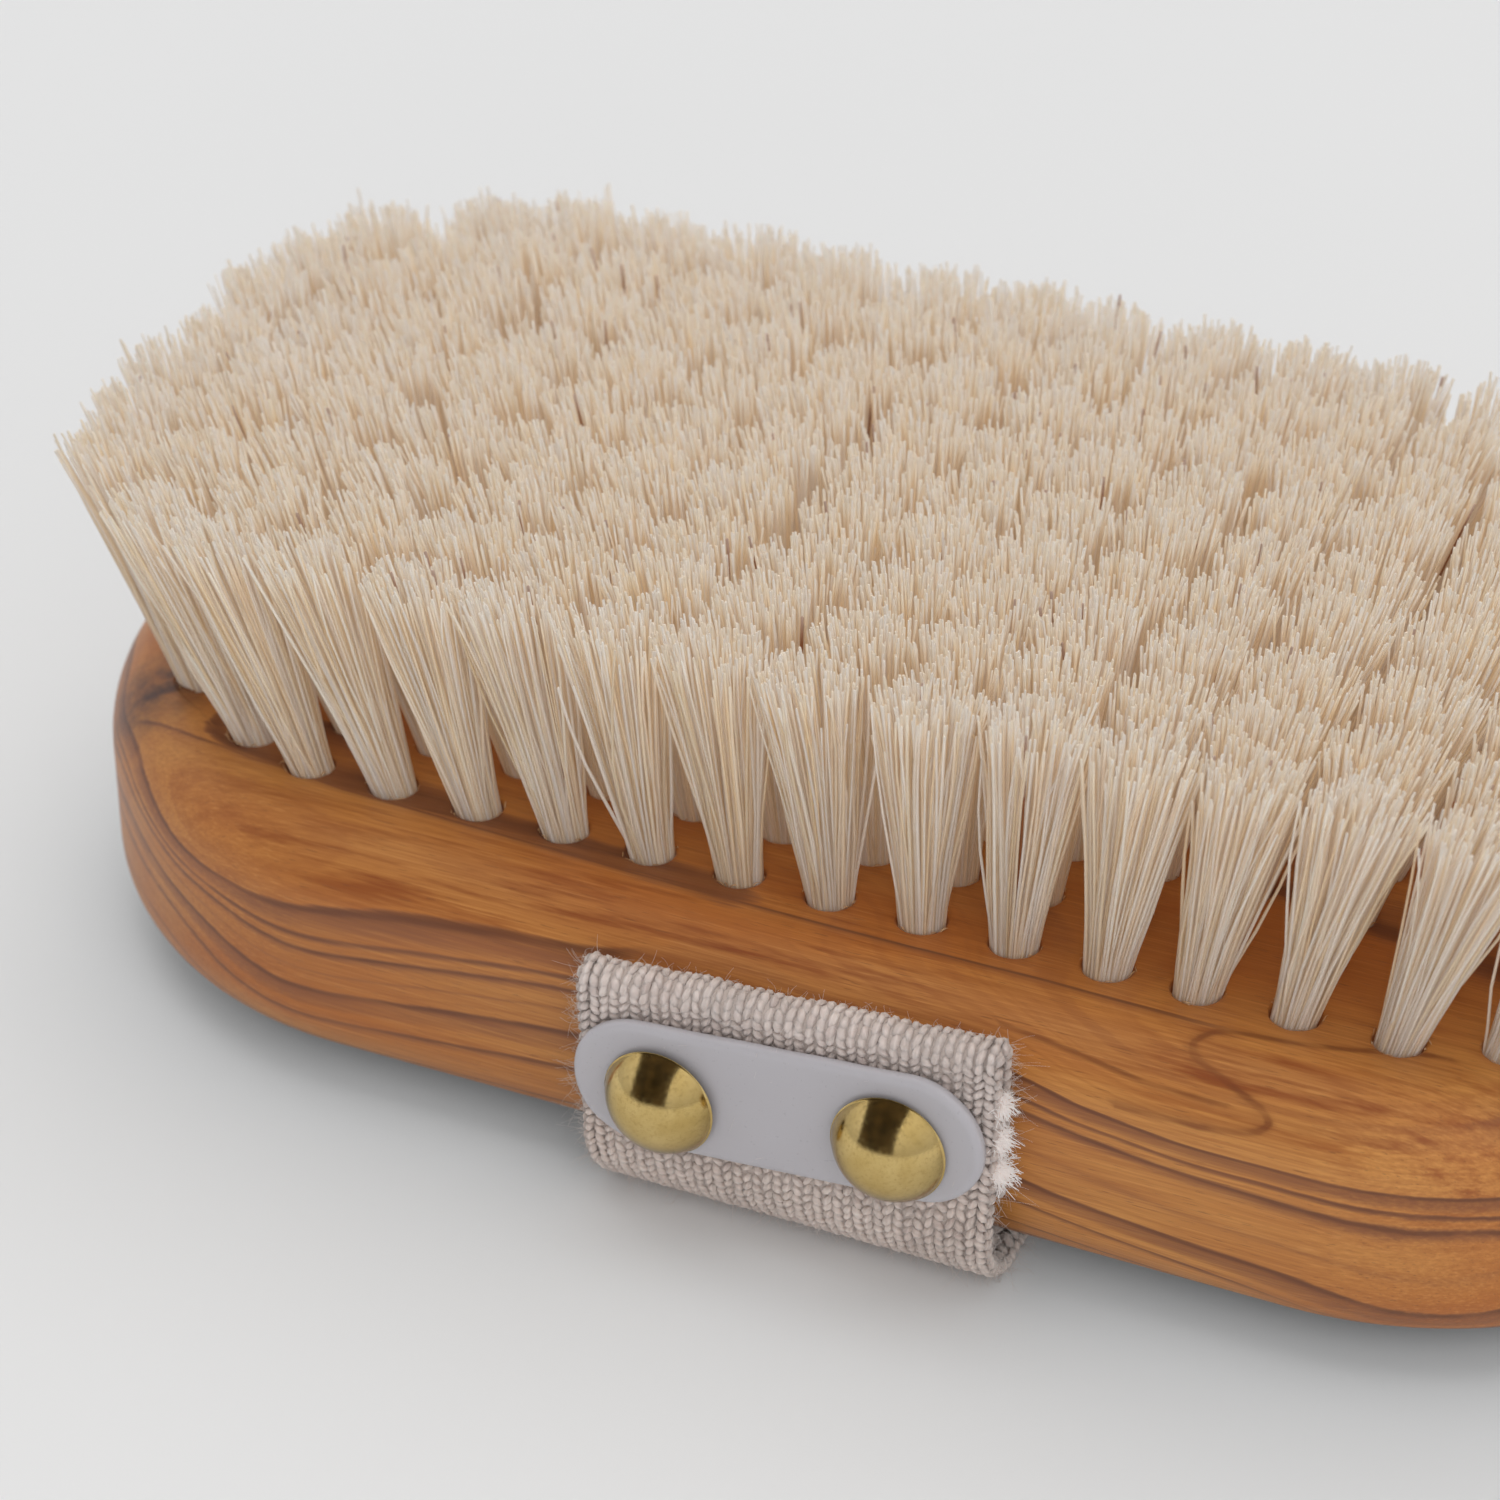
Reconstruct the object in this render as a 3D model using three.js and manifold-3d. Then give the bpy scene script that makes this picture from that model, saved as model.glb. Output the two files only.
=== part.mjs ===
// Body dry brush: an olive-wood block drilled with blind holes, natural bristle
// tufts that fan out towards the ends, and a webbing hand strap that runs under
// the block's back and is held on each long side by a stadium-shaped plate and
// two dome nails.
//
// Frame: millimetres, +Z up. The brush lies on its strap, bristles up, and the
// origin is on the ground below its middle. +X runs along the brush, and +Y
// across it, from the front side to the back side. Heights below are counted
// from the block's flat lower face; the last step lifts the brush onto the ground.
import * as THREE from 'three';
import { mergeVertices } from 'three/addons/utils/BufferGeometryUtils.js';
import Module from 'manifold-3d';

const wasm = await Module();
wasm.setup();
const { Manifold, Mesh: SolidMesh } = wasm;

// ---------------------------------------------------------------- dimensions
// wooden block
const BLOCK_LENGTH = 149;
const BLOCK_WIDTH = 77;
const BLOCK_HEIGHT = 22;
const END_RADIUS_X = 34.5;      // the ends are half ellipses, this deep along X
const EDGE_RADIUS = 6.75;       // rounding of the top and bottom edges

// tuft pattern: crosswise rows numbered from the middle, -LAST_ROW to LAST_ROW
const LAST_ROW = 8;
const TUFT_PITCH_X = 7.5;
const TUFT_PITCH_Y = 7.0;
const GRID_REACH = 4;           // tufts on each side of a grid row's middle one
// by row number from the middle, 0 to 6:
const GRID_SPREAD = [0, 0, 0, 0, 0, 1.1, 2.2];            // middle tuft, outwards
const GRID_SHIFT = [0, 0.6, 1.2, 1.7, 1.9, 1.6, 1.0];     // +X half only, inwards
// The last two rows at each end follow the rounded outline. distances: X from
// the block's middle, for the innermost tuft of the row to the outermost.
const END_ROWS = {
  7: { count: 8, pitchY: 7.37, distances: [55.8, 54.8, 53.2, 52.2] },
  8: { count: 7, pitchY: 6.77, distances: [64.3, 64.0, 62.8, 60.4] },
};

// outward lean of the tufts, as tangents
const LEAN_PER_MM_X = 1 / 170;  // per millimetre from the middle
const LEAN_MAX_X = 0.27;
const LEAN_END_X = 0.2;         // the last rows stand a little straighter
const LEAN_END_PER_MM_Y = 0.003; // and lean more away from their middle
const LEAN_SIDE_Y = 0.14;       // at the outermost long rows

// tufts and their holes
const HOLE_RADIUS = 1.95;
const HOLE_DEPTH = 9;
const HOLE_OVERCUT = 1.5;       // the cutter stands this far out of the top
const TUFT_BASE_RADIUS = 1.48;
const TUFT_CLEARANCE = 0.3;     // tuft end to hole bottom
const TUFT_SIDES = 6;
const FLARE_START = 0.6;        // above the block's top
const TIP_HEIGHT = 44.5;        // trimmed height of the bristle field
const TIP_RADIUS_X = 3.75;
const TIP_OVERLAP = 0.3;        // each tip reaches this far past the widest half gap

// strap
const GAP = 0.3;                // between pieces that rest on each other
const STRAP_X = 1.7;            // the strap sits this far from the middle
const STRAP_THICKNESS = 1.4;
const STRAP_END_WIDTH = 33.6;   // double, under the plate
const STRAP_RUN_WIDTH = 33.2;
const STRAP_PALM_WIDTH = 32.8;
const FOLD_TOP = 20.8;          // top of the folded-over end
const END_OUTER_BOTTOM = 6.0;   // the outer layer leaves the nailed end here
const END_INNER_BOTTOM = 7.2;   // cut end of the turned-in layer
const PALM_TOP = -0.4;          // the strap lies this far under the block
const PALM_BOTTOM = PALM_TOP - STRAP_THICKNESS;
const PALM_CORNER_TOP = 3.8;
const PALM_CORNER_RADIUS = 5.5;

// plates and nails
const PLATE_X = 1.5;
const PLATE_Z = 12.3;
const PLATE_LENGTH = 33.6;
const PLATE_HEIGHT = 11.2;
const PLATE_THICKNESS = 1.0;
const PLATE_BEVEL = 0.25;
const NAIL_SPACING = 18.8;
const NAIL_Z = 11.5;            // the nails sit a little below the plate's middle
const NAIL_HEAD_RADIUS = 4.7;
const NAIL_HEAD_HEIGHT = 3.2;
const NAIL_HEAD_BANDS = 5;      // steps of the dome, rim to crown
const NAIL_SHANK_RADIUS = 0.8;
const NAIL_HOLE_RADIUS = NAIL_SHANK_RADIUS + GAP;
const NAIL_LENGTH = 12.4;       // below the head
const NAIL_POINT = 2.4;
const PILOT_OVERCUT = 4;        // the cutter stands this far out of the side
const STRAP_CUTTER_LENGTH = 8;

// stack on each long side, as distances from the brush's centre plane
const STRAP_INNER_Y = BLOCK_WIDTH / 2 + GAP;
const STRAP_OUTER_Y = STRAP_INNER_Y + STRAP_THICKNESS * 2 + GAP;
const PLATE_INNER_Y = STRAP_OUTER_Y + GAP;
const PLATE_OUTER_Y = PLATE_INNER_Y + PLATE_THICKNESS;
const NAIL_SEAT_Y = PLATE_OUTER_Y + GAP;    // underside of the nail heads

const LONG_SIDES = [{ side: -1, label: 'front' }, { side: 1, label: 'back' }];
const NAIL_ENDS = [{ end: -1, where: 'left' }, { end: 1, where: 'right' }];

// ---------------------------------------------------------------- materials
const wood = new THREE.MeshStandardMaterial({
  name: 'olive_wood', color: 0xc07f45, roughness: 0.42, metalness: 0,
});
const bristle = new THREE.MeshStandardMaterial({
  name: 'bristle', color: 0xe6dcc6, roughness: 0.6, metalness: 0,
});
const webbing = new THREE.MeshStandardMaterial({
  name: 'webbing', color: 0xddcfc2, roughness: 0.95, metalness: 0,
});
const plastic = new THREE.MeshStandardMaterial({
  name: 'white_plastic', color: 0xe4e4e8, roughness: 0.3, metalness: 0,
});
const brass = new THREE.MeshStandardMaterial({
  name: 'brass', color: 0xc9a94a, roughness: 0.22, metalness: 1,
});

// ---------------------------------------------------------------- helpers
// closed three.js geometry -> solid; only positions are kept, so that vertices
// split by normals or UVs merge
function toSolid(geometry) {
  for (const name of Object.keys(geometry.attributes)) {
    if (name !== 'position') geometry.deleteAttribute(name);
  }
  const merged = mergeVertices(geometry, 1e-4);
  return new Manifold(new SolidMesh({
    numProp: 3,
    vertProperties: new Float32Array(merged.attributes.position.array),
    triVerts: new Uint32Array(merged.index.array),
  }));
}

// solid -> three.js geometry
function toGeometry(solid) {
  const mesh = solid.getMesh();
  const geometry = new THREE.BufferGeometry();
  const positions = new Float32Array(mesh.vertProperties);
  geometry.setAttribute('position', new THREE.BufferAttribute(positions, 3));
  geometry.setIndex(new THREE.BufferAttribute(new Uint32Array(mesh.triVerts), 1));
  geometry.computeVertexNormals();
  return geometry;
}

// two straight sides along X, closed by half ellipses centred at ±centreX
function stadiumShape({ centreX, radiusX, radiusY }) {
  const shape = new THREE.Shape();
  shape.moveTo(-centreX, -radiusY);
  shape.lineTo(centreX, -radiusY);
  shape.absellipse(centreX, 0, radiusX, radiusY, -Math.PI / 2, Math.PI / 2, false, 0);
  shape.lineTo(-centreX, radiusY);
  shape.absellipse(-centreX, 0, radiusX, radiusY, Math.PI / 2, 1.5 * Math.PI, false, 0);
  return shape;
}

// slab from Z = 0 to its thickness; the bevel widens the shape by its own size
function bevelledSlab(shape, { thickness, bevel, bevelSegments, curveSegments }) {
  const geometry = new THREE.ExtrudeGeometry(shape, {
    depth: thickness - 2 * bevel,
    steps: 1,
    curveSegments,
    bevelEnabled: true,
    bevelThickness: bevel,
    bevelSize: bevel,
    bevelSegments,
  });
  geometry.translate(0, 0, bevel);
  return geometry;
}

// strap section drawn in Y-Z, extruded along X about the strap's middle
function strapBand(section, { width, curveSegments }) {
  const geometry = new THREE.ExtrudeGeometry(section, {
    depth: width, curveSegments, steps: 1, bevelEnabled: false,
  });
  geometry.applyMatrix4(new THREE.Matrix4().makeBasis(
    new THREE.Vector3(0, 1, 0), new THREE.Vector3(0, 0, 1), new THREE.Vector3(1, 0, 0)));
  geometry.translate(STRAP_X - width / 2, 0, 0);
  return geometry;
}

function nailX(end) {
  return PLATE_X + end * NAIL_SPACING / 2;
}

// cutter along Y for one nail, centred on y
function nailHoleCutter(end, { y, length }) {
  const cutter = new THREE.CylinderGeometry(NAIL_HOLE_RADIUS, NAIL_HOLE_RADIUS, length, 8, 1);
  cutter.translate(nailX(end), y, NAIL_Z);
  return toSolid(cutter);
}

// ---------------------------------------------------------------- tuft pattern
// X of a tuft on the straight grid; offset counts tufts from the row's middle
function gridX(row, offset) {
  const step = Math.abs(row);
  const reach = Math.abs(offset);
  // inner tufts spread towards the ends of the block
  let x = row * TUFT_PITCH_X + Math.sign(row) * GRID_SPREAD[step] * (1 - reach / GRID_REACH);
  // on the +X half the inner tufts are drilled slightly nearer the middle
  if (row > 0 && reach < GRID_REACH) x -= GRID_SHIFT[step];
  return x;
}

function leanAlongX(row, x, y) {
  const lean = Math.abs(row) === LAST_ROW
    ? LEAN_END_X + LEAN_END_PER_MM_Y * Math.abs(y)
    : Math.min(Math.abs(x) * LEAN_PER_MM_X, LEAN_MAX_X);
  return Math.sign(x) * lean;
}

// tufts of one crosswise row: x and y where the tuft's centre line meets the
// height of the block's top, and the two tangents of its lean
function tuftRow(row) {
  const { count, pitchY, distances } = END_ROWS[Math.abs(row)]
    ?? { count: 2 * GRID_REACH + 1, pitchY: TUFT_PITCH_Y };
  const tufts = [];
  for (let i = 0; i < count; i++) {
    const offset = i - (count - 1) / 2;
    const x = distances
      ? Math.sign(row) * distances[Math.floor(Math.abs(offset))]
      : gridX(row, offset);
    const y = offset * pitchY;
    tufts.push({
      x,
      y,
      leanX: leanAlongX(row, x, y),
      leanY: LEAN_SIDE_Y * y / (GRID_REACH * TUFT_PITCH_Y),
    });
  }
  return tufts;
}

// Column on a tuft's leaning centre line. It is sheared, so its ends stay level.
// stations: height and radii, from the bottom up; turn: rotation about its axis.
function leaningColumn(tuft, { sides, turn = 0, stations }) {
  const steps = stations.length - 1;
  const geometry = new THREE.CylinderGeometry(1, 1, steps, sides, steps);
  geometry.rotateY(turn);
  geometry.rotateX(Math.PI / 2);            // axis Y -> Z
  const points = geometry.attributes.position;
  for (let i = 0; i < points.count; i++) {
    const { z, radiusX, radiusY } = stations[Math.round(points.getZ(i) + steps / 2)];
    const rise = z - BLOCK_HEIGHT;
    points.setXYZ(i,
      points.getX(i) * radiusX + tuft.x + tuft.leanX * rise,
      points.getY(i) * radiusY + tuft.y + tuft.leanY * rise,
      z);
  }
  return toSolid(geometry);
}

function tuftHoleCutter(tuft) {
  const radii = { radiusX: HOLE_RADIUS, radiusY: HOLE_RADIUS };
  return leaningColumn(tuft, {
    sides: 8,
    stations: [
      { z: BLOCK_HEIGHT - HOLE_DEPTH, ...radii },
      { z: BLOCK_HEIGHT + HOLE_OVERCUT, ...radii },
    ],
  });
}

// one tuft: even up to just above its hole, then flaring to the trimmed tip
function tuftSolid(tuft, tipRadiusY) {
  const base = { radiusX: TUFT_BASE_RADIUS, radiusY: TUFT_BASE_RADIUS };
  return leaningColumn(tuft, {
    sides: TUFT_SIDES,
    turn: Math.PI / TUFT_SIDES,             // flats face the neighbours in the row
    stations: [
      { z: BLOCK_HEIGHT - HOLE_DEPTH + TUFT_CLEARANCE, ...base },
      { z: BLOCK_HEIGHT + FLARE_START, ...base },
      { z: TIP_HEIGHT, radiusX: TIP_RADIUS_X, radiusY: tipRadiusY },
    ],
  });
}

// ---------------------------------------------------------------- pieces
// stadium with elliptic ends and rounded edges, less the blind tuft holes and
// the four nail pilots
function blockGeometry(rows) {
  const outline = stadiumShape({
    centreX: BLOCK_LENGTH / 2 - END_RADIUS_X,
    radiusX: END_RADIUS_X - EDGE_RADIUS,
    radiusY: BLOCK_WIDTH / 2 - EDGE_RADIUS,
  });
  let block = toSolid(bevelledSlab(outline, {
    thickness: BLOCK_HEIGHT, bevel: EDGE_RADIUS, bevelSegments: 4, curveSegments: 16,
  }));
  for (const tuft of rows.flat()) block = block.subtract(tuftHoleCutter(tuft));

  const pilotInnerY = NAIL_SEAT_Y - NAIL_LENGTH - GAP;
  const pilotOuterY = BLOCK_WIDTH / 2 + PILOT_OVERCUT;
  for (const { side } of LONG_SIDES) {
    for (const { end } of NAIL_ENDS) {
      block = block.subtract(nailHoleCutter(end, {
        y: side * (pilotInnerY + pilotOuterY) / 2,
        length: pilotOuterY - pilotInnerY,
      }));
    }
  }
  return toGeometry(block);
}

// one crosswise row of tufts, joined where their flared tips touch
function bristleRowGeometry(tufts) {
  const tipY = tufts.map((tuft) => tuft.y + tuft.leanY * (TIP_HEIGHT - BLOCK_HEIGHT));
  let widest = 0;
  for (let i = 1; i < tipY.length; i++) widest = Math.max(widest, tipY[i] - tipY[i - 1]);
  // radius to the corners, from the distance to the flats
  const tipRadiusY = (widest / 2 + TIP_OVERLAP) / Math.cos(Math.PI / TUFT_SIDES);
  const solids = tufts.map((tuft) => tuftSolid(tuft, tipRadiusY));
  return toGeometry(solids.reduce((joined, one) => joined.add(one)));
}

// stadium plate with softened edges and two nail holes, its thickness along -Y
function plateGeometry() {
  const radius = PLATE_HEIGHT / 2 - PLATE_BEVEL;
  const shape = stadiumShape({
    centreX: PLATE_LENGTH / 2 - PLATE_HEIGHT / 2, radiusX: radius, radiusY: radius,
  });
  for (const { end } of NAIL_ENDS) {
    const hole = new THREE.Path();
    hole.absarc(end * NAIL_SPACING / 2, NAIL_Z - PLATE_Z,
      NAIL_HOLE_RADIUS + PLATE_BEVEL, 0, 2 * Math.PI, true);
    shape.holes.push(hole);
  }
  const geometry = bevelledSlab(shape, {
    thickness: PLATE_THICKNESS, bevel: PLATE_BEVEL, bevelSegments: 1, curveSegments: 6,
  });
  geometry.rotateX(Math.PI / 2);
  return geometry;
}

// dome nail along Y, the underside of its head at Y = 0, head outwards
function nailGeometry(side) {
  // sphere through the head's rim and crown
  const domeRadius = (NAIL_HEAD_RADIUS ** 2 + NAIL_HEAD_HEIGHT ** 2) / (2 * NAIL_HEAD_HEIGHT);
  const rimAngle = Math.asin(NAIL_HEAD_RADIUS / domeRadius);
  const profile = [
    new THREE.Vector2(0, -NAIL_LENGTH),
    new THREE.Vector2(NAIL_SHANK_RADIUS, -NAIL_LENGTH + NAIL_POINT),
    new THREE.Vector2(NAIL_SHANK_RADIUS, 0),
    new THREE.Vector2(NAIL_HEAD_RADIUS, 0),
  ];
  for (let i = NAIL_HEAD_BANDS - 1; i >= 0; i--) {
    const angle = rimAngle * i / NAIL_HEAD_BANDS;
    profile.push(new THREE.Vector2(
      domeRadius * Math.sin(angle),
      domeRadius * Math.cos(angle) - (domeRadius - NAIL_HEAD_HEIGHT)));
  }
  const geometry = new THREE.LatheGeometry(profile, 14);
  if (side < 0) geometry.rotateZ(Math.PI);
  return geometry;
}

// strap end: the webbing turned in on itself under the plate
function strapEndGeometry(side) {
  const outerRadius = (STRAP_OUTER_Y - STRAP_INNER_Y) / 2;
  const innerRadius = outerRadius - STRAP_THICKNESS;
  const foldY = (STRAP_OUTER_Y + STRAP_INNER_Y) / 2;
  const foldZ = FOLD_TOP - outerRadius;
  const section = new THREE.Shape();
  section.moveTo(STRAP_OUTER_Y, END_OUTER_BOTTOM);
  section.lineTo(STRAP_OUTER_Y, foldZ);
  section.absarc(foldY, foldZ, outerRadius, 0, Math.PI, false);
  section.lineTo(STRAP_INNER_Y, END_INNER_BOTTOM);
  section.lineTo(STRAP_INNER_Y + STRAP_THICKNESS, END_INNER_BOTTOM);
  section.lineTo(STRAP_INNER_Y + STRAP_THICKNESS, foldZ);
  section.absarc(foldY, foldZ, innerRadius, Math.PI, 0, true);
  section.lineTo(STRAP_OUTER_Y - STRAP_THICKNESS, END_OUTER_BOTTOM);
  section.closePath();

  let strapEnd = toSolid(strapBand(section, { width: STRAP_END_WIDTH, curveSegments: 6 }));
  // the section is the back one; a half turn about the strap's middle makes the
  // front one, and the nail holes are cut in place
  if (side < 0) strapEnd = strapEnd.rotate([0, 0, 180]).translate([2 * STRAP_X, 0, 0]);
  for (const { end } of NAIL_ENDS) {
    strapEnd = strapEnd.subtract(
      nailHoleCutter(end, { y: side * foldY, length: STRAP_CUTTER_LENGTH }));
  }
  return toGeometry(strapEnd);
}

// palm section of the strap: a flat band under the block whose ends turn up
function strapPalmGeometry() {
  const innerY = STRAP_OUTER_Y - STRAP_THICKNESS;
  const outerRadius = PALM_CORNER_RADIUS;
  const innerRadius = outerRadius - STRAP_THICKNESS;
  const cornerY = STRAP_OUTER_Y - outerRadius;
  const cornerZ = PALM_BOTTOM + outerRadius;
  const section = new THREE.Shape();
  section.moveTo(STRAP_OUTER_Y, PALM_CORNER_TOP);
  section.lineTo(innerY, PALM_CORNER_TOP);
  section.lineTo(innerY, cornerZ);
  section.absarc(cornerY, cornerZ, innerRadius, 0, -Math.PI / 2, true);
  section.lineTo(-cornerY, PALM_TOP);
  section.absarc(-cornerY, cornerZ, innerRadius, -Math.PI / 2, -Math.PI, true);
  section.lineTo(-innerY, PALM_CORNER_TOP);
  section.lineTo(-STRAP_OUTER_Y, PALM_CORNER_TOP);
  section.lineTo(-STRAP_OUTER_Y, cornerZ);
  section.absarc(-cornerY, cornerZ, outerRadius, Math.PI, 1.5 * Math.PI, false);
  section.lineTo(cornerY, PALM_BOTTOM);
  section.absarc(cornerY, cornerZ, outerRadius, -Math.PI / 2, 0, false);
  section.closePath();
  return strapBand(section, { width: STRAP_PALM_WIDTH, curveSegments: 8 });
}

// ---------------------------------------------------------------- assembly
const brush = new THREE.Group();
brush.name = 'body_dry_brush';

function add(name, geometry, material, position = [0, 0, 0]) {
  const mesh = new THREE.Mesh(geometry, material);
  mesh.name = name;
  mesh.position.set(...position);
  brush.add(mesh);
}

const rows = [];
for (let row = -LAST_ROW; row <= LAST_ROW; row++) rows.push(tuftRow(row));

add('wooden_block', blockGeometry(rows), wood);
rows.forEach((tufts, i) => {
  const number = String(i + 1).padStart(2, '0');
  add(`bristle_row_${number}`, bristleRowGeometry(tufts), bristle);
});

// free webbing between the nailed end and the palm section
const runBottom = PALM_CORNER_TOP + GAP;
const runHeight = END_OUTER_BOTTOM - GAP - runBottom;

for (const { side, label } of LONG_SIDES) {
  // the plate's origin is on its +Y face
  const plateY = side < 0 ? -PLATE_INNER_Y : PLATE_OUTER_Y;
  add(`${label}_plate`, plateGeometry(), plastic, [PLATE_X, plateY, PLATE_Z]);
  for (const { end, where } of NAIL_ENDS) {
    add(`${label}_${where}_nail`, nailGeometry(side), brass,
      [nailX(end), side * NAIL_SEAT_Y, NAIL_Z]);
  }
  add(`strap_${label}_end`, strapEndGeometry(side), webbing);
  add(`strap_${label}_run`,
    new THREE.BoxGeometry(STRAP_RUN_WIDTH, STRAP_THICKNESS, runHeight), webbing,
    [STRAP_X, side * (STRAP_OUTER_Y - STRAP_THICKNESS / 2), runBottom + runHeight / 2]);
}
add('strap_palm', strapPalmGeometry(), webbing);

// onto the ground: the strap's underside comes to Z = 0
brush.position.z = -PALM_BOTTOM;

export default brush;
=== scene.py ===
# A hand brush: an oval olive-wood block with tufts of pale bristles, and a cotton hand strap.
# The block is long along x. Its flat back faces down and the bristles point up (+z).
# Front is -y, right is +x. The strap passes under the back from front to back, and each of
# its ends is held to the block's side by a white plate and two brass dome nails.
import math
import bmesh
import bpy
import numpy as np
from mathutils import Matrix, Vector
from mathutils.geometry import delaunay_2d_cdt


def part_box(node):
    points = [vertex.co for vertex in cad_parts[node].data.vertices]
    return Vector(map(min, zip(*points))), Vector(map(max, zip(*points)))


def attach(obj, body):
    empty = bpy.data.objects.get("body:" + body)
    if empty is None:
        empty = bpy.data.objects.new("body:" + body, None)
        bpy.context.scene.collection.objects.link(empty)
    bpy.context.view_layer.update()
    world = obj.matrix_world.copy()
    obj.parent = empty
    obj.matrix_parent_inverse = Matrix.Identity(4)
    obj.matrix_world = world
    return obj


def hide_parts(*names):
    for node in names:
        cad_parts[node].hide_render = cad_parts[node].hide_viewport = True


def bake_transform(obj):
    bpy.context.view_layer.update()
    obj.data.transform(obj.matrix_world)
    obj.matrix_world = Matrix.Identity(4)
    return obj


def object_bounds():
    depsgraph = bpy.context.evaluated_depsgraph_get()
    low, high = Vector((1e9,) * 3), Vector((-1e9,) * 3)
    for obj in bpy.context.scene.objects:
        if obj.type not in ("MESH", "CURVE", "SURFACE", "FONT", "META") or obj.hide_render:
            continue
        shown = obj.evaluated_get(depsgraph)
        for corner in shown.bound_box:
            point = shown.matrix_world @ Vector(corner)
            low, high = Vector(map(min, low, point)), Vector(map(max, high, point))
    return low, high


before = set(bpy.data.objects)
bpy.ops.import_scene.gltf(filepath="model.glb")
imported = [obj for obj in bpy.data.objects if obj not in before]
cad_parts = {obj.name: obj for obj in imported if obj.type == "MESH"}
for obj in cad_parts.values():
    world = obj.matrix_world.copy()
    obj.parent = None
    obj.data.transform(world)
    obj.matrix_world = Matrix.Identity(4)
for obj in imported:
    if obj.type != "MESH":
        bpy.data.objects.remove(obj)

CAD_LO, CAD_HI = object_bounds()
scene = bpy.context.scene
rng = np.random.default_rng(20)

# ---------------------------------------------------------------- main sizes
# Mesh lengths are in millimetres, and z is counted from the block's flat back.
BLOCK_LO, BLOCK_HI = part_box("wooden_block")
BACK_Z = BLOCK_LO[2] * 1000.0           # where the back lies in the frame
LENGTH, WIDTH, HEIGHT = ((hi - lo) * 1000.0 for lo, hi in zip(BLOCK_LO, BLOCK_HI))
BRISTLE_LENGTH = CAD_HI[2] * 1000.0 - BACK_Z - HEIGHT
EDGE = 6.75                             # radius of the rounded edges
END_RX = 34.5                           # half axis along x of the elliptic ends
HOLE_R = 1.95
HOLE_BOTTOM = 13.0
# the flat top, inside the rounded edge
TOP_X = LENGTH / 2 - EDGE
TOP_Y = WIDTH / 2 - EDGE
TOP_RX = END_RX - EDGE


def cad_box(node):
    corners = [np.array(corner) * 1000.0 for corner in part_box(node)]
    for corner in corners:
        corner[2] -= BACK_Z
    return corners


def cad_verts(node):
    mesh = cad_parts[node].data
    verts = np.empty(len(mesh.vertices) * 3)
    mesh.vertices.foreach_get("co", verts)
    verts = verts.reshape(-1, 3) * 1000.0
    verts[:, 2] -= BACK_Z
    return verts


# ---------------------------------------------------------------- mesh helpers
def unit(vectors, guard=0.0):
    return vectors / (np.linalg.norm(vectors, axis=-1, keepdims=True) + guard)


def link(name, data):
    obj = bpy.data.objects.new(name, data)
    scene.collection.objects.link(obj)
    return obj


def make_mesh(name, verts, quads, tris, material, floats=None, colors=None):
    """Smooth mesh from points in mm, with float and colour attributes on its points."""
    mesh = bpy.data.meshes.new(name)
    points = np.array(verts, dtype=np.float64)
    points[:, 2] += BACK_Z
    points *= 0.001
    tri_count = 0 if tris is None else len(tris)
    mesh.vertices.add(len(points))
    mesh.vertices.foreach_set("co", points.ravel())
    corners = np.asarray(quads, dtype=np.int32).ravel()
    starts = np.arange(len(quads), dtype=np.int32) * 4
    if tri_count:
        tri_starts = len(corners) + np.arange(tri_count, dtype=np.int32) * 3
        starts = np.concatenate([starts, tri_starts])
        corners = np.concatenate([corners, np.asarray(tris, dtype=np.int32).ravel()])
    mesh.loops.add(len(corners))
    mesh.loops.foreach_set("vertex_index", corners)
    mesh.polygons.add(len(starts))
    mesh.polygons.foreach_set("loop_start", starts)
    mesh.update(calc_edges=True)
    mesh.validate()
    shade_smooth(mesh)
    for key, values in (floats or {}).items():
        layer = mesh.attributes.new(key, "FLOAT", "POINT")
        layer.data.foreach_set("value", np.asarray(values, dtype=np.float32))
    for key, values in (colors or {}).items():
        layer = mesh.attributes.new(key, "FLOAT_COLOR", "POINT")
        rgba = np.ones((len(points), 4), dtype=np.float32)
        rgba[:, :3] = values
        layer.data.foreach_set("color", rgba.ravel())
    mesh.materials.append(material)
    return link(name, mesh)


def shade_smooth(mesh):
    mesh.polygons.foreach_set("use_smooth", np.full(len(mesh.polygons), True))


def on_brush(obj, slot, *cad_nodes):
    """Fix a piece to the brush, in place of the CAD nodes it stands for."""
    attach(obj, "brush")
    if cad_nodes:
        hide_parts(*cad_nodes)


def bridge(upper, lower):
    """Quads between two rings given by their point indices."""
    return np.c_[upper, lower, np.roll(lower, -1), np.roll(upper, -1)]


def ring_quads(rings, sides, tubes=1, first=0):
    """Quads of tubes whose points lie ring by ring, tube by tube, from index `first`."""
    tube = first + (np.arange(tubes) * rings * sides)[:, None, None]
    ring = (np.arange(rings - 1) * sides)[None, :, None]
    here = tube + ring + np.arange(sides)
    beside = tube + ring + (np.arange(sides) + 1) % sides
    return np.stack([here, beside, beside + sides, here + sides], -1).reshape(-1, 4)


REVERSED = [0, 3, 2, 1]     # column order that turns a quad over and keeps its first corner


def face_outwards(mesh, close=False):
    edit = bmesh.new()
    edit.from_mesh(mesh)
    if close:
        bmesh.ops.remove_doubles(edit, verts=edit.verts, dist=1e-7)
        bmesh.ops.holes_fill(edit, edges=[e for e in edit.edges if e.is_boundary], sides=0)
    bmesh.ops.recalc_face_normals(edit, faces=edit.faces)
    edit.to_mesh(mesh)
    edit.free()


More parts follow.
